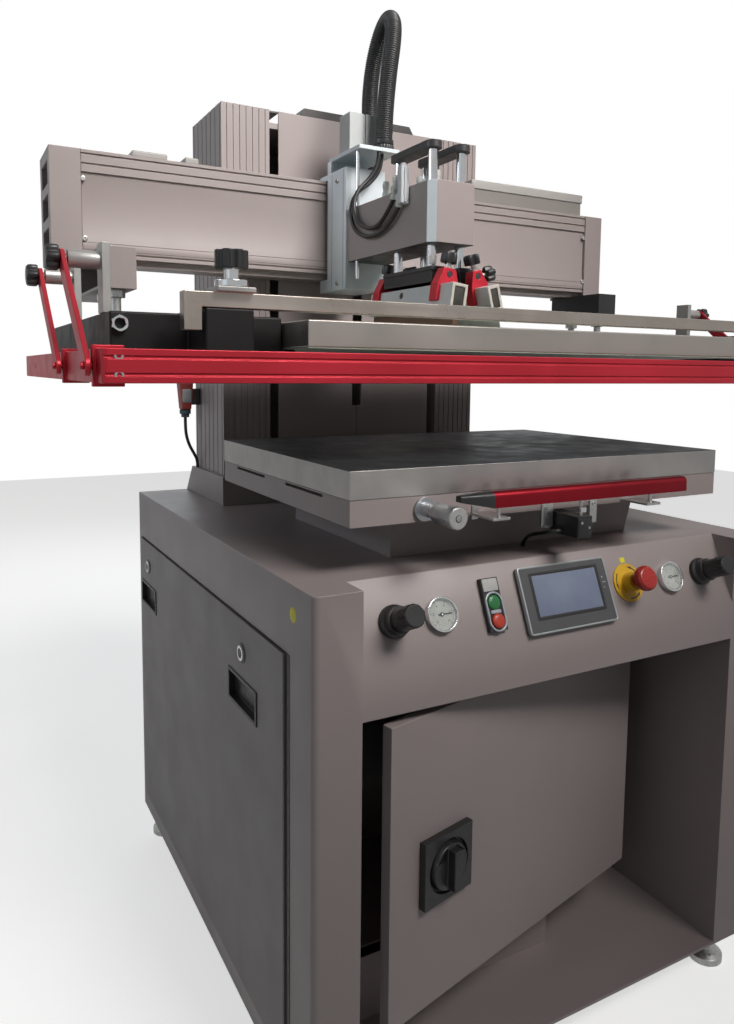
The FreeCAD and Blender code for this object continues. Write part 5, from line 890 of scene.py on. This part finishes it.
# Touch bar: a red anodised aluminium profile with brushed strokes along it, a black moulded end
# cap that tapers at its left, and the steel plunger pin that works the switch.
END_CAP_FROM = -0.166
TAPER_FROM = -0.2175
TAPER_TO = (-0.4760, 0.9210)
TAPER_SHARES = (0.45, 0.60)
BAR_FOOT = 0.9035
RED_EDGE = (0.52, 0.06, 0.07)
red_anodised = finish_of("red_anodised", (0.58, 0.024, 0.044), (0.50, 0.018, 0.034), 0.36, 8.0,
                         strokes=(4.0, 800.0, 800.0, 0.000012), worn_lit_edges=(RED_EDGE, 0.0010, 0.35), Metallic=0.45)
bar_red = finish_of("bar_red", (0.30, 0.010, 0.020), (0.24, 0.008, 0.016), 0.30, 8.0, 0.05,
                    strokes=(4.0, 800.0, 800.0, 0.000012), worn_lit_edges=(RED_EDGE, 0.0012, 0.5), Metallic=0.8)
bar_piece = dressed("touch_bar", bar_red, edge=0.0010, segments=3,
                    others=[(steel_bright, lambda x, y, z: z < BAR_FOOT)])
bar_piece.data.materials.append(black_plastic)
shell = bmesh.new()
shell.from_mesh(bar_piece.data)
bmesh.ops.bisect_plane(shell, geom=shell.verts[:] + shell.edges[:] + shell.faces[:],
                       plane_co=(END_CAP_FROM, 0, 0), plane_no=(1, 0, 0))
for corner in shell.verts:
    if corner.co.x < TAPER_FROM:
        corner.co.y += (TAPER_TO[0] - corner.co.y) * TAPER_SHARES[0]
        corner.co.z += (TAPER_TO[1] - corner.co.z) * TAPER_SHARES[1]
for face in shell.faces:
    if face.calc_center_median().x < END_CAP_FROM and face.calc_center_median().z > BAR_FOOT:
        face.material_index = 2
shell.to_mesh(bar_piece.data)
shell.free()
plunger_collar = turned_shape([(0.0030, 0), (0.0052, 0.0006), (0.0052, 0.0080), (0.0030, 0.0088)], 24)
detail("plunger_collar", polished_steel, "touch_bar", "polished_steel",
       placed(plunger_collar, (0.0080, -0.4800, 0.8836)))

# Limit switch: a black moulded case with a raised cover and two screws, a roller plunger guide,
# and two pale zinc brackets beside it.
SWITCH_FRONT = -0.486
BRACKET_BACK = -0.4330
BRACKET_FRONT = -0.4346


def screws(name, places, radius, height, facing, finish, body):
    """Cap screws of one size as one piece: each head is rounded over and has a sunk socket."""
    head = turned_shape([(radius, 0), (radius, height * 0.72), (radius * 0.95, height * 0.92),
                         (radius * 0.86, height), (radius * 0.5, height), (radius * 0.46, height * 0.35)], 28)
    detail(name, finish, body, "zinc_steel", *[placed(head, place, facing) for place in places])


dressed("switch_box", black_plastic, edge=0.0010, segments=3)
detail("switch_cover", black_plastic, "base", "black_plastic",
       placed(slab(0.0250, 0.0260, 0.0025, 0.0010, 0.0005), (0.008, SWITCH_FRONT, 0.8610), FORWARDS))
screws("switch_screws", [(0.0005, SWITCH_FRONT - 0.0010, 0.8685), (0.0155, SWITCH_FRONT - 0.0010, 0.8605)],
       0.0021, 0.0010, FORWARDS, steel_bright, "base")
detail("switch_brackets", zinc_plate, "base", "zinc_steel",
       *[placed(slab(width, 0.0370, 0.0012, 0.0016, 0.0005), (x, BRACKET_BACK, 0.8730), FORWARDS)
         for x, width in ((-0.0205, 0.0220), (0.0740, 0.0150))])
screws("bracket_screws", [(-0.0240, BRACKET_FRONT, 0.8850), (0.0740, BRACKET_FRONT, 0.8850)], 0.0030, 0.0016,
       FORWARDS, steel_bright, "base")

# Tower: a bevelled plinth, two fluted posts with polished guide rails, and sheet steel covers that
# leave slots for the lift arms. A dark lid closes the top.
LID_FOOT = 1.6262
dark_lid = finish_of("dark_lid", (0.030, 0.028, 0.028), (0.040, 0.037, 0.037), 0.45, 8.0,
                     peel=(900.0, 0.00005))
dressed("tower_plinth", taupe_coat, edge=0.0012,
        others=[(steel_bright, lambda x, y, z: (z > 0.8705) & (abs(x) < 0.05))])
dressed("tower_posts", taupe_coat, edge=0.0005, others=[(steel_bright, lambda x, y, z: abs(x) < 0.2099)])
dressed("tower_covers", taupe_coat, edge=0.0008, others=[(dark_lid, lambda x, y, z: z > LID_FOOT)])
# Dark plates close the top of the two slots and stand in for the shade inside them: painted shade.
detail("slot_shadow_plates", dark_lid, "base", "black_paint",
       *[placed(slab(0.0225, 0.1900, 0.0010, 0.0035, 0.0008), (side * 0.1995, 0.3330, 1.6222))
         for side in (-1, 1)])

# Side connector: a red moulded hood with a raised rib and two screws, a dark teal gland ring, and
# the arm that fixes it to the post.
CONNECTOR_X = -0.346
red_hood = finish_of("red_hood", (0.30, 0.040, 0.030), (0.25, 0.032, 0.025), 0.42, 30.0,
                     peel=(1200.0, 0.00003))
teal_gland = finish_of("teal_gland", (0.055, 0.095, 0.105), (0.045, 0.08, 0.09), 0.42, 60.0,
                       peel=(1300.0, 0.00003))
dressed("side_connector", red_hood, edge=0.0016, segments=3,
        others=[(teal_gland, lambda x, y, z: z < 1.0019), (dark_lid, lambda x, y, z: x > -0.3305)])
gland_ring = turned_shape([(0.0118, 0), (0.0128, 0.001), (0.0128, 0.009), (0.0118, 0.010)], 12)
detail("connector_gland_nut", teal_gland, "base", "black_plastic",
       placed(gland_ring, (CONNECTOR_X, 0.405, 0.9915)))
detail("connector_plate", silver_trim, "base", "satin_aluminium",
       placed(slab(0.0200, 0.0300, 0.0020, 0.0010, 0.0004), (CONNECTOR_X, 0.390, 1.032), FORWARDS))

# Lift: a black steel carriage on the guide rails, with two arms to the beam, and the screw in its
# nut. The screw's thread is a rounded groove that climbs ten millimetres a turn.
SCREW_Y = 0.330
SCREW_RADIUS = 0.0125
SCREW_PITCH = 0.010
THREAD_DEPTH = 0.0011
SCREW_FOOT = 0.880
SCREW_TOP = 1.600
THREAD_STEPS = 7
black_coat = finish_of("black_coat", (0.018, 0.018, 0.020), (0.028, 0.028, 0.030), 0.45, 12.0, 0.08,
                       peel=(600.0, 0.00010), worn_lit_edges=((0.07, 0.07, 0.07), 0.0012, 0.6))
dressed("lift_carriage", black_coat, edge=0.0010)


def threaded_rod(radius, depth, pitch, low, high, sides=20):
    """A threaded rod: its radius dips once a pitch, and the dip climbs as it goes round."""
    levels = np.linspace(low, high, int((high - low) / pitch * THREAD_STEPS))
    turns = np.arange(sides) / sides
    dips = [(0.5 - 0.5 * np.cos((level / pitch - turns) * math.tau)) ** 2 for level in levels]
    return skin([ring(radius - depth * dip, sides, level) for level, dip in zip(levels, dips)])


thread = threaded_rod(SCREW_RADIUS, THREAD_DEPTH, SCREW_PITCH, SCREW_FOOT, SCREW_TOP)
screw_thread = detail("lift_screw_thread", steel_bright, "lift_screw", "zinc_steel",
                      placed(thread, (0, SCREW_Y, 0)))
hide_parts("lift_screw")

# Beam: an extruded aluminium cross beam, powder coated, with cast end caps. Each cap is held by
# two screws through the beam's grooves.
BEAM_FACE = 0.159
CAP_FACE = 0.157
CAP_SCREWS = [(-0.5935, 0.1592, 1.4270), (-0.5925, 0.1592, 1.3225), (0.5925, 0.1592, 1.4240),
              (0.5925, 0.1592, 1.3180)]
dressed("beam", taupe_coat, edge=0.0008)
dressed("beam_end_caps", taupe_coat, edge=0.0015)
screws("cap_screws", CAP_SCREWS, 0.0048, 0.0030, FORWARDS, steel_bright, "head")
detail("cap_seams", dial_ink, "head", "black_paint",
       *[placed(bar_shape(0.199, 0.0006, 0.0002), (side * 0.5966, CAP_FACE, 1.3785), FORWARDS, UPWARDS)
         for side in (-1, 1)])
# Two thin dark lines along the beam's face stand in for the shadow in its grooves: painted shade.
groove_shade = finish_of("groove_shade", (0.12, 0.105, 0.10), (0.10, 0.088, 0.085), 0.55, 30.0,
                         peel=(900.0, 0.00003))
detail("beam_groove_shadows", groove_shade, "head", "black_paint",
       *[placed(bar_shape(1.190, 0.0008, 0.00015), (0, BEAM_FACE, z), FORWARDS) for z in (1.3165, 1.3041)])

# Cable tray: a folded taupe tray with a pale rounded plastic lid, and two low service caps.
tray_pale = finish_of("tray_plastic", (0.40, 0.39, 0.37), (0.35, 0.34, 0.325), 0.40, 8.0,
                      peel=(1000.0, 0.00003))
tray_taupe = finish_of("tray_coat", (0.26, 0.245, 0.225), (0.235, 0.22, 0.205), 0.42, 6.0,
                       peel=(800.0, 0.00005))
dressed("cable_tray", tray_taupe, edge=0.0030, segments=4,
        others=[(tray_pale, lambda x, y, z: (z > 1.5259) | (x < 0))])
detail("tray_lid", tray_pale, "head", "pale_plastic",
       placed(slab(0.3436, 0.0418, 0.0060, 0.0198, 0.0040), (0.4425, 0.2085, 1.5157)))

# Arm brackets: welded boxes open on the outside, taupe at the left and black at the right, pale
# pivot plates on the frame arms, and the black knobs on the levers' pins. The adjusters are zinc
# plated studs with hexagon nuts.
PLATES_FROM = 0.6449
PINS_FROM = 0.7021
LEVER_PIVOTS = [(-0.325, 1.224), (-0.107, 1.224)]
KNOB_FOOT = 0.7028
KNOB_TOP = 0.7178
KNOB_PROFILE = [(0.93, 0.0, 1.0), (1.0, 0.12, 1.0), (1.0, 0.72, 1.0), (0.95, 0.88, 1.0), (0.86, 0.97, 0.9),
                (0.70, 1.0, 0.6), (0.30, 0.96, 0.0)]
pale_plate = finish_of("pale_plate", (0.46, 0.46, 0.44), (0.40, 0.40, 0.385), 0.36, 20.0,
                       strokes=(12.0, 12.0, 500.0, 0.00001), Metallic=0.55)
dressed("arm_brackets", taupe_coat, edge=0.0008,
        others=[(black_coat, lambda x, y, z: x > 0.05), (pale_plate, lambda x, y, z: abs(x) > PLATES_FROM),
                (black_plastic, lambda x, y, z: abs(x) > PINS_FROM)])
dressed("height_adjusters", zinc_plate)


def lobed_knob(radius, lobes, foot, top, depth, sides=72):
    """A star knob: its lobes are a wave on the radius, full on its flank and gone at its crown.

    Each row of the profile is a share of the radius, a share of the height and a share of the lobes.
    """
    wave = (0.5 - 0.5 * np.cos(np.arange(sides) * math.tau / sides * lobes)) ** 1.5
    return skin([ring(radius * share * (1 - depth * lobing * wave), sides, foot + (top - foot) * rise)
                 for share, rise, lobing in KNOB_PROFILE])


detail("pivot_knobs", black_plastic, "head", "black_plastic",
       *[placed(lobed_knob(0.0165, 6, KNOB_FOOT, KNOB_TOP, 0.24), (0, y, z), (side, 0, 0), BACKWARDS)
         for y, z in LEVER_PIVOTS for side in (-1, 1)])

# Frame arms: black cast arms that carry the screen frame on their inner ledges. A bright hollow
# hexagon nut sits in the left one's flank.
black_cast = finish_of("black_casting", (0.008, 0.0085, 0.0085), (0.014, 0.014, 0.014), 0.50, 9.0, 0.08,
                       peel=(420.0, 0.00016), worn_lit_edges=((0.05, 0.05, 0.05), 0.0016, 0.6),
                       Specular_IOR_Level=0.25)
dressed("side_arms", black_cast, edge=0.0030, segments=4)


def hollow_nut(across, thickness, bore):
    """A hexagon nut with a chamfered face and an open bore: a closed section carried round six sides."""
    sides = 24
    sixth = math.tau / 6
    angles = np.arange(sides) * math.tau / sides
    outer = across / 2 / np.cos(np.mod(angles + sixth / 2, sixth) - sixth / 2)
    round_rim = np.minimum(outer, across / 2 * 1.06)
    return hollow_skin([ring(radii, sides, level) for radii, level in (
        (outer, 0), (outer, thickness * 0.82), (round_rim, thickness), (bore + 0.0008, thickness),
        (bore, thickness - 0.0008), (bore, 0))])


detail("arm_nut", polished_steel, "head", "polished_steel",
       placed(hollow_nut(0.0180, 0.0080, 0.0062), (-0.6440, -0.3800, 1.1452), FORWARDS))

# Cross rails: two ground stainless bars over the frame, with clamp plates. Seven-lobed black star
# knobs on bright flanges hold the front one.
STAR_KNOBS = {"left_star_knob": -0.525, "right_star_knob": 0.525}
STAR_Y = -0.440
STAR_FLANGE_TOP = 1.2095
STAR_CROWN = 1.2314
# The stainless's warm brownish tint is a painted reflection of its surroundings.
stainless = finish_of("stainless_with_warm_reflection", (0.50, 0.455, 0.405), (0.40, 0.355, 0.31), 0.27, 5.0, 0.08,
                      strokes=(2.5, 700.0, 700.0, 0.000014), Metallic=0.95)
dressed("cross_rails", stainless, edge=0.0010, others=[(pale_plate, lambda x, y, z: z > 1.1821)])
for name, star_x in STAR_KNOBS.items():
    dressed(name, black_plastic, edge=0.0014, segments=3,
            others=[(polished_steel, lambda x, y, z: z < STAR_FLANGE_TOP)])
    crown = turned_shape([(0.0080, 0), (0.0078, 0.0006), (0.0060, 0.0008)], 24)
    detail(name + "_crown", black_plastic, name, "black_plastic", placed(crown, (star_x, STAR_Y, STAR_CROWN)))

# Screen: a frame of welded square tube, brushed, and a pale polyester mesh stretched under it. The
# mesh is woven from single threads and carries a thin green-grey stencil coat.
MESH_PITCH = 0.0024
THREAD_GAP = (0.30, 0.36, 0.28, 1)
THREAD_COLOUR = (0.52, 0.55, 0.45, 1)
STENCIL_STAIN = (0.24, 0.30, 0.30, 1)
frame_steel = finish_of("frame_steel", (0.44, 0.42, 0.39), (0.36, 0.34, 0.31), 0.32, 5.0, 0.07,
                        strokes=(3.0, 500.0, 500.0, 0.000014), worn_lit_edges=((0.6, 0.58, 0.55), 0.0015, 0.5),
                        Metallic=0.8)
dressed("screen_frame", frame_steel, edge=0.0020, segments=3)
mesh_cloth, cloth_tree, cloth_shader = new_material("mesh_cloth")
threads = []
for angle in (0.0, math.pi / 2):
    turned = add_node(cloth_tree, "Mapping", Vector=object_place(cloth_tree), Rotation=(0, 0, angle))
    thread = add_node(cloth_tree, "TexWave", Vector=turned.outputs["Vector"], Scale=math.pi / MESH_PITCH / 20)
    thread.bands_direction = "X"
    threads.append(thread.outputs["Fac"])
weave = sums(cloth_tree, "MAXIMUM", *threads)
cloth_colour = blended(cloth_tree, weave, THREAD_GAP, THREAD_COLOUR)
cloth_relief = add_node(cloth_tree, "Bump", Height=weave, Distance=0.0001)
set_inputs(cloth_tree, cloth_shader, Normal=cloth_relief.outputs["Normal"],
           Base_Color=blended(cloth_tree, clouds(cloth_tree, 7.0, 0.0, 0.35), cloth_colour, STENCIL_STAIN),
           Roughness=clouds(cloth_tree, 20.0, 0.45, 0.6))
dressed("screen_mesh", mesh_cloth, edge=0)

# Guard: a red anodised rail round the head on three sides, hung on four flat red levers. Two cap
# screws hold each front corner, and a dark slot marks each lever's foot.
GUARD_SCREWS = [(side * 0.6728, -0.5169, z) for side in (-1, 1) for z in (1.1050, 1.0850)]
GUARD_FLANK = 0.6900
GUARD_MIDDLE = 1.0950
LEVER_FEET = (0.068, -0.236)
dressed("guard_bar", red_anodised, edge=0.0010, segments=3)
dressed("front_levers", red_anodised, edge=0.0014, segments=3)
dressed("rear_levers", red_anodised, edge=0.0014, segments=3)
screws("guard_screws", GUARD_SCREWS, 0.0052, 0.0030, FORWARDS, steel_bright, "guard_bar")
guard_slot = slab(0.0030, 0.0090, 0.0012, 0.0004, 0.0002)
detail("guard_slots", dial_ink, "guard_bar", "black_paint",
       *[placed(guard_slot, (side * GUARD_FLANK, y, GUARD_MIDDLE), (side, 0, 0), BACKWARDS)
         for side in (-1, 1) for y in LEVER_FEET])

# Printing carriage: a milled aluminium plate hooked over the beam, with a shelf on top and an
# extruded mast. Two cap screws hold its channel, and a ground rod runs down in front of it.
PLATE_FACE = -0.1160
PLATE_SCREWS = [(PLATE_FACE, 0.1040, 1.4674), (PLATE_FACE, 0.1020, 1.2669)]
CHANNEL_LINES = (0.0790, 0.1290)
MAST_FOOT = 1.5212
UPRIGHT_STROKES = (700.0, 700.0, 4.0, 0.00001)
satin_plate = finish_of("satin_plate", (0.62, 0.68, 0.71), (0.55, 0.61, 0.64), 0.40, 9.0,
                        strokes=UPRIGHT_STROKES, worn_lit_edges=((0.75, 0.77, 0.78), 0.0010, 0.6), Metallic=0.25)
mast_finish = finish_of("mast_finish", (0.40, 0.42, 0.415), (0.36, 0.38, 0.375), 0.40, 7.0,
                        strokes=UPRIGHT_STROKES, Metallic=0.35)
# The plate's left face takes a paler copy of its aluminium: painted light on that face.
plate_side_highlight = finish_of("plate_side_highlight", (0.78, 0.84, 0.87), (0.70, 0.76, 0.79), 0.42, 9.0,
                         strokes=UPRIGHT_STROKES, Metallic=0.1)
dressed("carriage_plate", satin_plate, edge=0.0012, segments=3,
        others=[(plate_side_highlight, lambda x, y, z: x < -0.1155), (mast_finish, lambda x, y, z: z > MAST_FOOT)])
detail("channel_lines", dial_ink, "carriage", "black_paint",
       *[placed(bar_shape(0.2300, 0.0010, 0.00015), (PLATE_FACE, y, 1.3705), LEFTWARDS, UPWARDS)
         for y in CHANNEL_LINES])
screws("carriage_screws", PLATE_SCREWS, 0.0050, 0.0032, LEFTWARDS, steel_bright, "carriage")
guide_shape = turned_shape([(0.0030, 1.2700), (0.0036, 1.2706), (0.0036, 1.5124), (0.0030, 1.5130)], 24)
detail("guide_rod", polished_steel, "carriage", "polished_steel", placed(guide_shape, (-0.1045, 0.0400, 0)))

# Hose glands: black moulded nuts that hold the corrugated hose, one on the shelf and one in the
# carriage's hook. Each has a ribbed grip and a smooth collar.
HOSE_FOOT = (*HOSE_ROUTE[0][:2], 0)
HOSE_END = (*HOSE_ROUTE[-1][:2], 0)
gland_grip = lobed_knob(0.0200, 18, MAST_FOOT, 1.5400, 0.06, sides=108)
gland_collar = turned_shape([(0.0190, 1.5390), (0.0192, 1.5396), (0.0192, 1.5470), (0.0182, 1.5480)], 48)
spigot = turned_shape([(0.0150, 1.4895), (0.0168, 1.4902), (0.0168, 1.5150), (0.0160, 1.5160)], 48)
detail("hose_glands", black_plastic, "carriage", "black_plastic", placed(gland_grip, HOSE_FOOT),
       placed(gland_collar, HOSE_FOOT), placed(spigot, HOSE_END))

# Head block: powder coated steel that guides the four rods, with a milled front corner. A small
# white air cylinder and pale push-in fittings stand on its left edge, for the two air tubes.
BLOCK_TOP = 1.407
CYLINDER_X = -0.1195
CYLINDER_Y = -0.1560
PORTS = [(-0.0960, -0.0560), (-0.0630, -0.1750), (-0.0630, -0.1200), (-0.0500, -0.0560)]
cylinder_white = finish_of("cylinder_white", (0.60, 0.62, 0.64), (0.54, 0.56, 0.58), 0.30, 20.0,
                           strokes=(600.0, 600.0, 5.0, 0.00001))
fitting_pale = finish_of("fitting_pale", (0.62, 0.65, 0.61), (0.56, 0.59, 0.56), 0.30, 60.0,
                         peel=MOULDED, Metallic=0.1)
# The block's underside takes the black coat: painted shade under the block.
dressed("head_block", taupe_coat, edge=0.0014, segments=3,
        others=[(satin_plate, lambda x, y, z: (x < -0.1000) & (y < -0.2215) & (y > -0.2315)),
                (black_coat, lambda x, y, z: z < 1.3055)])
cylinder_cap = turned_shape([(0.0048, 0), (0.0052, 0.001), (0.0052, 0.005), (0.0040, 0.006)], 24)
detail("air_cylinder", cylinder_white, "carriage", "satin_aluminium",
       placed(slab(0.0160, 0.0150, 0.0022, 0.0620, 0.0010), (CYLINDER_X, CYLINDER_Y, 1.3780)),
       placed(slab(0.0050, 0.0190, 0.0010, 0.0580, 0.0006), (CYLINDER_X, CYLINDER_Y, 1.3800)),
       placed(cylinder_cap, (CYLINDER_X, CYLINDER_Y, 1.4395)))


def push_fitting(height):
    """A push-in fitting: a turned collar, a waist and a release ring, up its z axis."""
    return turned_shape([(0.0046, 0), (0.0068, 0.0006), (0.0068, height * 0.34), (0.0056, height * 0.40),
                         (0.0056, height * 0.55), (0.0064, height * 0.60), (0.0064, height * 0.88),
                         (0.0052, height * 0.90), (0.0052, height)], 24)


fittings = []
for x, y, z in (OUTER_AIR_ROUTE[-1], INNER_AIR_ROUTE[-1]):
    fittings.append(placed(push_fitting(0.0200), (x, y, z - 0.0010), (0.0, -0.35, 1.0)))
    fittings.append(placed(turned_shape([(0.0060, 0), (0.0072, 0.001), (0.0072, 0.013), (0.0060, 0.014)], 24),
                           (x + 0.0070, y - 0.0050, z + 0.0150), LEFTWARDS))
fittings.append(placed(push_fitting(0.0260), (-0.1180, -0.1290, 1.4050)))
detail("tube_fittings", fitting_pale, "carriage", "satin_aluminium", *fittings)
detail("block_ports", fitting_pale, "carriage", "satin_aluminium",
       *[placed(push_fitting(0.0300), (x, y, BLOCK_TOP)) for x, y in PORTS])

# Squeegee and flood bar lifts: two ground rods each, a black tie bar with a cap screw over each
# rod, and a black mounting bar with a stepped rail. A silver band is clipped round the front rod.
ROD_X = {"squeegee_lift": -0.0915, "flood_lift": -0.0345}
ROD_Y = (-0.205, -0.095)
ROD_MIDDLE = 1.3645
ROD_HALF = 0.0970
BAND_RADIUS = 0.0080
TIE_TOP = 1.474
for name, rod_x in ROD_X.items():
    dressed(name, black_coat, edge=0.0008,
            others=[(polished_steel, lambda x, y, z: abs(z - ROD_MIDDLE) < ROD_HALF)])
    screws(name + "_screws", [(rod_x, y, TIE_TOP) for y in ROD_Y], 0.0058, 0.0034, UPWARDS, fitting_pale, name)
    detail(name + "_rail", black_coat, name, "black_paint",
           placed(slab(0.0340, 0.1640, 0.0020, 0.0060, 0.0010), (rod_x, -0.150, 1.2600)),
           placed(slab(0.0330, 0.1560, 0.0010, 0.0035, 0.0008), (rod_x, -0.150, 1.2400)))
band = turned_shape([(BAND_RADIUS, 0), (BAND_RADIUS + 0.0006, 0.0004), (BAND_RADIUS + 0.0006, 0.0136),
                     (BAND_RADIUS, 0.014)])
detail("rod_band", steel_bright, "squeegee_lift", "zinc_steel",
       placed(band, (ROD_X["squeegee_lift"], ROD_Y[0], 1.2720)))

# Squeegee and flood bar: red anodised clamps on the pivot pins, worked by black star knobs. They
# grip grey anodised holders with white framed end plugs, and a brown rubber blade and a steel one.
# Each bar has its body, its pin's place, its lean in degrees and half its holder's thickness.
PIN_HEIGHT = 1.250
HOLDER_ENDS = ((-0.295, FORWARDS), (-0.030, BACKWARDS))
CLAMP_MIDDLES = (-0.251, -0.055)
PLUG_DROP = -0.039
PLUG_DEPTH = 0.0020
WORK_SIDES = {"squeegee": ("squeegee", -0.0915, 8.0, 0.015), "flood": ("flood_bar", -0.0345, -15.0, 0.012)}
holder_grey = finish_of("holder_grey", (0.58, 0.60, 0.61), (0.51, 0.53, 0.54), 0.36, 8.0,
                        strokes=(700.0, 3.0, 700.0, 0.000012), worn_lit_edges=((0.72, 0.73, 0.73), 0.0010, 0.6),
                        Metallic=0.15)
plug_white = finish_of("plug_white", (0.58, 0.55, 0.49), (0.52, 0.49, 0.44), 0.40, 60.0, peel=MOULDED)
plug_dark = finish_of("plug_dark", (0.030, 0.028, 0.022), (0.045, 0.042, 0.034), 0.50, 90.0,
                      peel=(500.0, 0.00012))
blade_rubber = finish_of("blade_rubber", (0.115, 0.060, 0.030), (0.095, 0.048, 0.025), 0.48, 25.0,
                         peel=(700.0, 0.00003), worn_lit_edges=((0.20, 0.12, 0.07), 0.0010, 0.5))
dressed("squeegee_clamps", red_anodised, edge=0.0012, segments=3)
dressed("flood_clamps", red_anodised, edge=0.0012, segments=3)
dressed("squeegee_holder", holder_grey, edge=0.0008)
dressed("flood_holder", holder_grey, edge=0.0008, others=[(steel_bright, lambda x, y, z: z < 1.1900)])
dressed("squeegee_blade", blade_rubber)


def leaning(lean):
    """The directions across a holder and up it, for its lean."""
    angle = math.radians(lean)
    return np.array([math.cos(angle), 0, -math.sin(angle)]), np.array([math.sin(angle), 0, math.cos(angle)])


def knob_stem(shoulder):
    """A clamp knob's turned stem: a shoulder of a given height under a thinner neck."""
    return turned_shape([(0.0060, 0), (0.0060, shoulder), (0.0042, shoulder + 0.001), (0.0042, 0.014)], 20)


for name, (body, pin_x, lean, half) in WORK_SIDES.items():
    across, upward = leaning(lean)
    pins = [np.array([pin_x, y, PIN_HEIGHT]) for y in CLAMP_MIDDLES]
    stems = [placed(knob_stem(0.004), pin + across * 0.002 + upward * 0.0098, upward, across) for pin in pins]
    big_knob = lobed_knob(0.0145, 5, 0.0, 0.0170, 0.34)
    knobs = [placed(big_knob, pin + across * 0.002 + upward * 0.0200, upward, across) for pin in pins]
    if name == "flood":
        stems.append(placed(knob_stem(0.005), pins[0] + across * 0.0110 - upward * 0.001, across, upward))
        small_knob = lobed_knob(0.0140, 5, 0.0, 0.0160, 0.34)
        knobs.append(placed(small_knob, pins[0] + across * 0.0220 - upward * 0.001, across, upward))
    detail(name + "_knob_stems", steel_bright, body, "zinc_steel", *stems)
    detail(name + "_knobs", black_plastic, body, "black_plastic", *knobs)
    frames = []
    fills = []
    for end_y, outward in HOLDER_ENDS:
        middle = np.array([pin_x, end_y, PIN_HEIGHT]) + upward * PLUG_DROP
        frames.append(placed(picture_frame(2 * half, 0.0420, 0.0050, 0.0010, PLUG_DEPTH, 0.0004), middle,
                             outward, across))
        fills.append(placed(slab(2 * half - 0.0080, 0.0330, 0.0006, 0.0030, 0.0003),
                            middle - np.array(outward) * 0.0025, outward, across))
    detail(name + "_plug_frames", plug_white, body, "pale_plastic", *frames)
    detail(name + "_plug_fills", plug_dark, body, "black_plastic", *fills)
across, upward = leaning(WORK_SIDES["squeegee"][2])
hole_place = np.array([ROD_X["squeegee_lift"], -0.140, PIN_HEIGHT]) - across * 0.0150 - upward * 0.0290
detail("holder_plug", plug_dark, "squeegee", "black_plastic",
       placed(slab(0.0110, 0.0110, 0.0050, 0.0008, 0.0004), hole_place, -across, BACKWARDS))
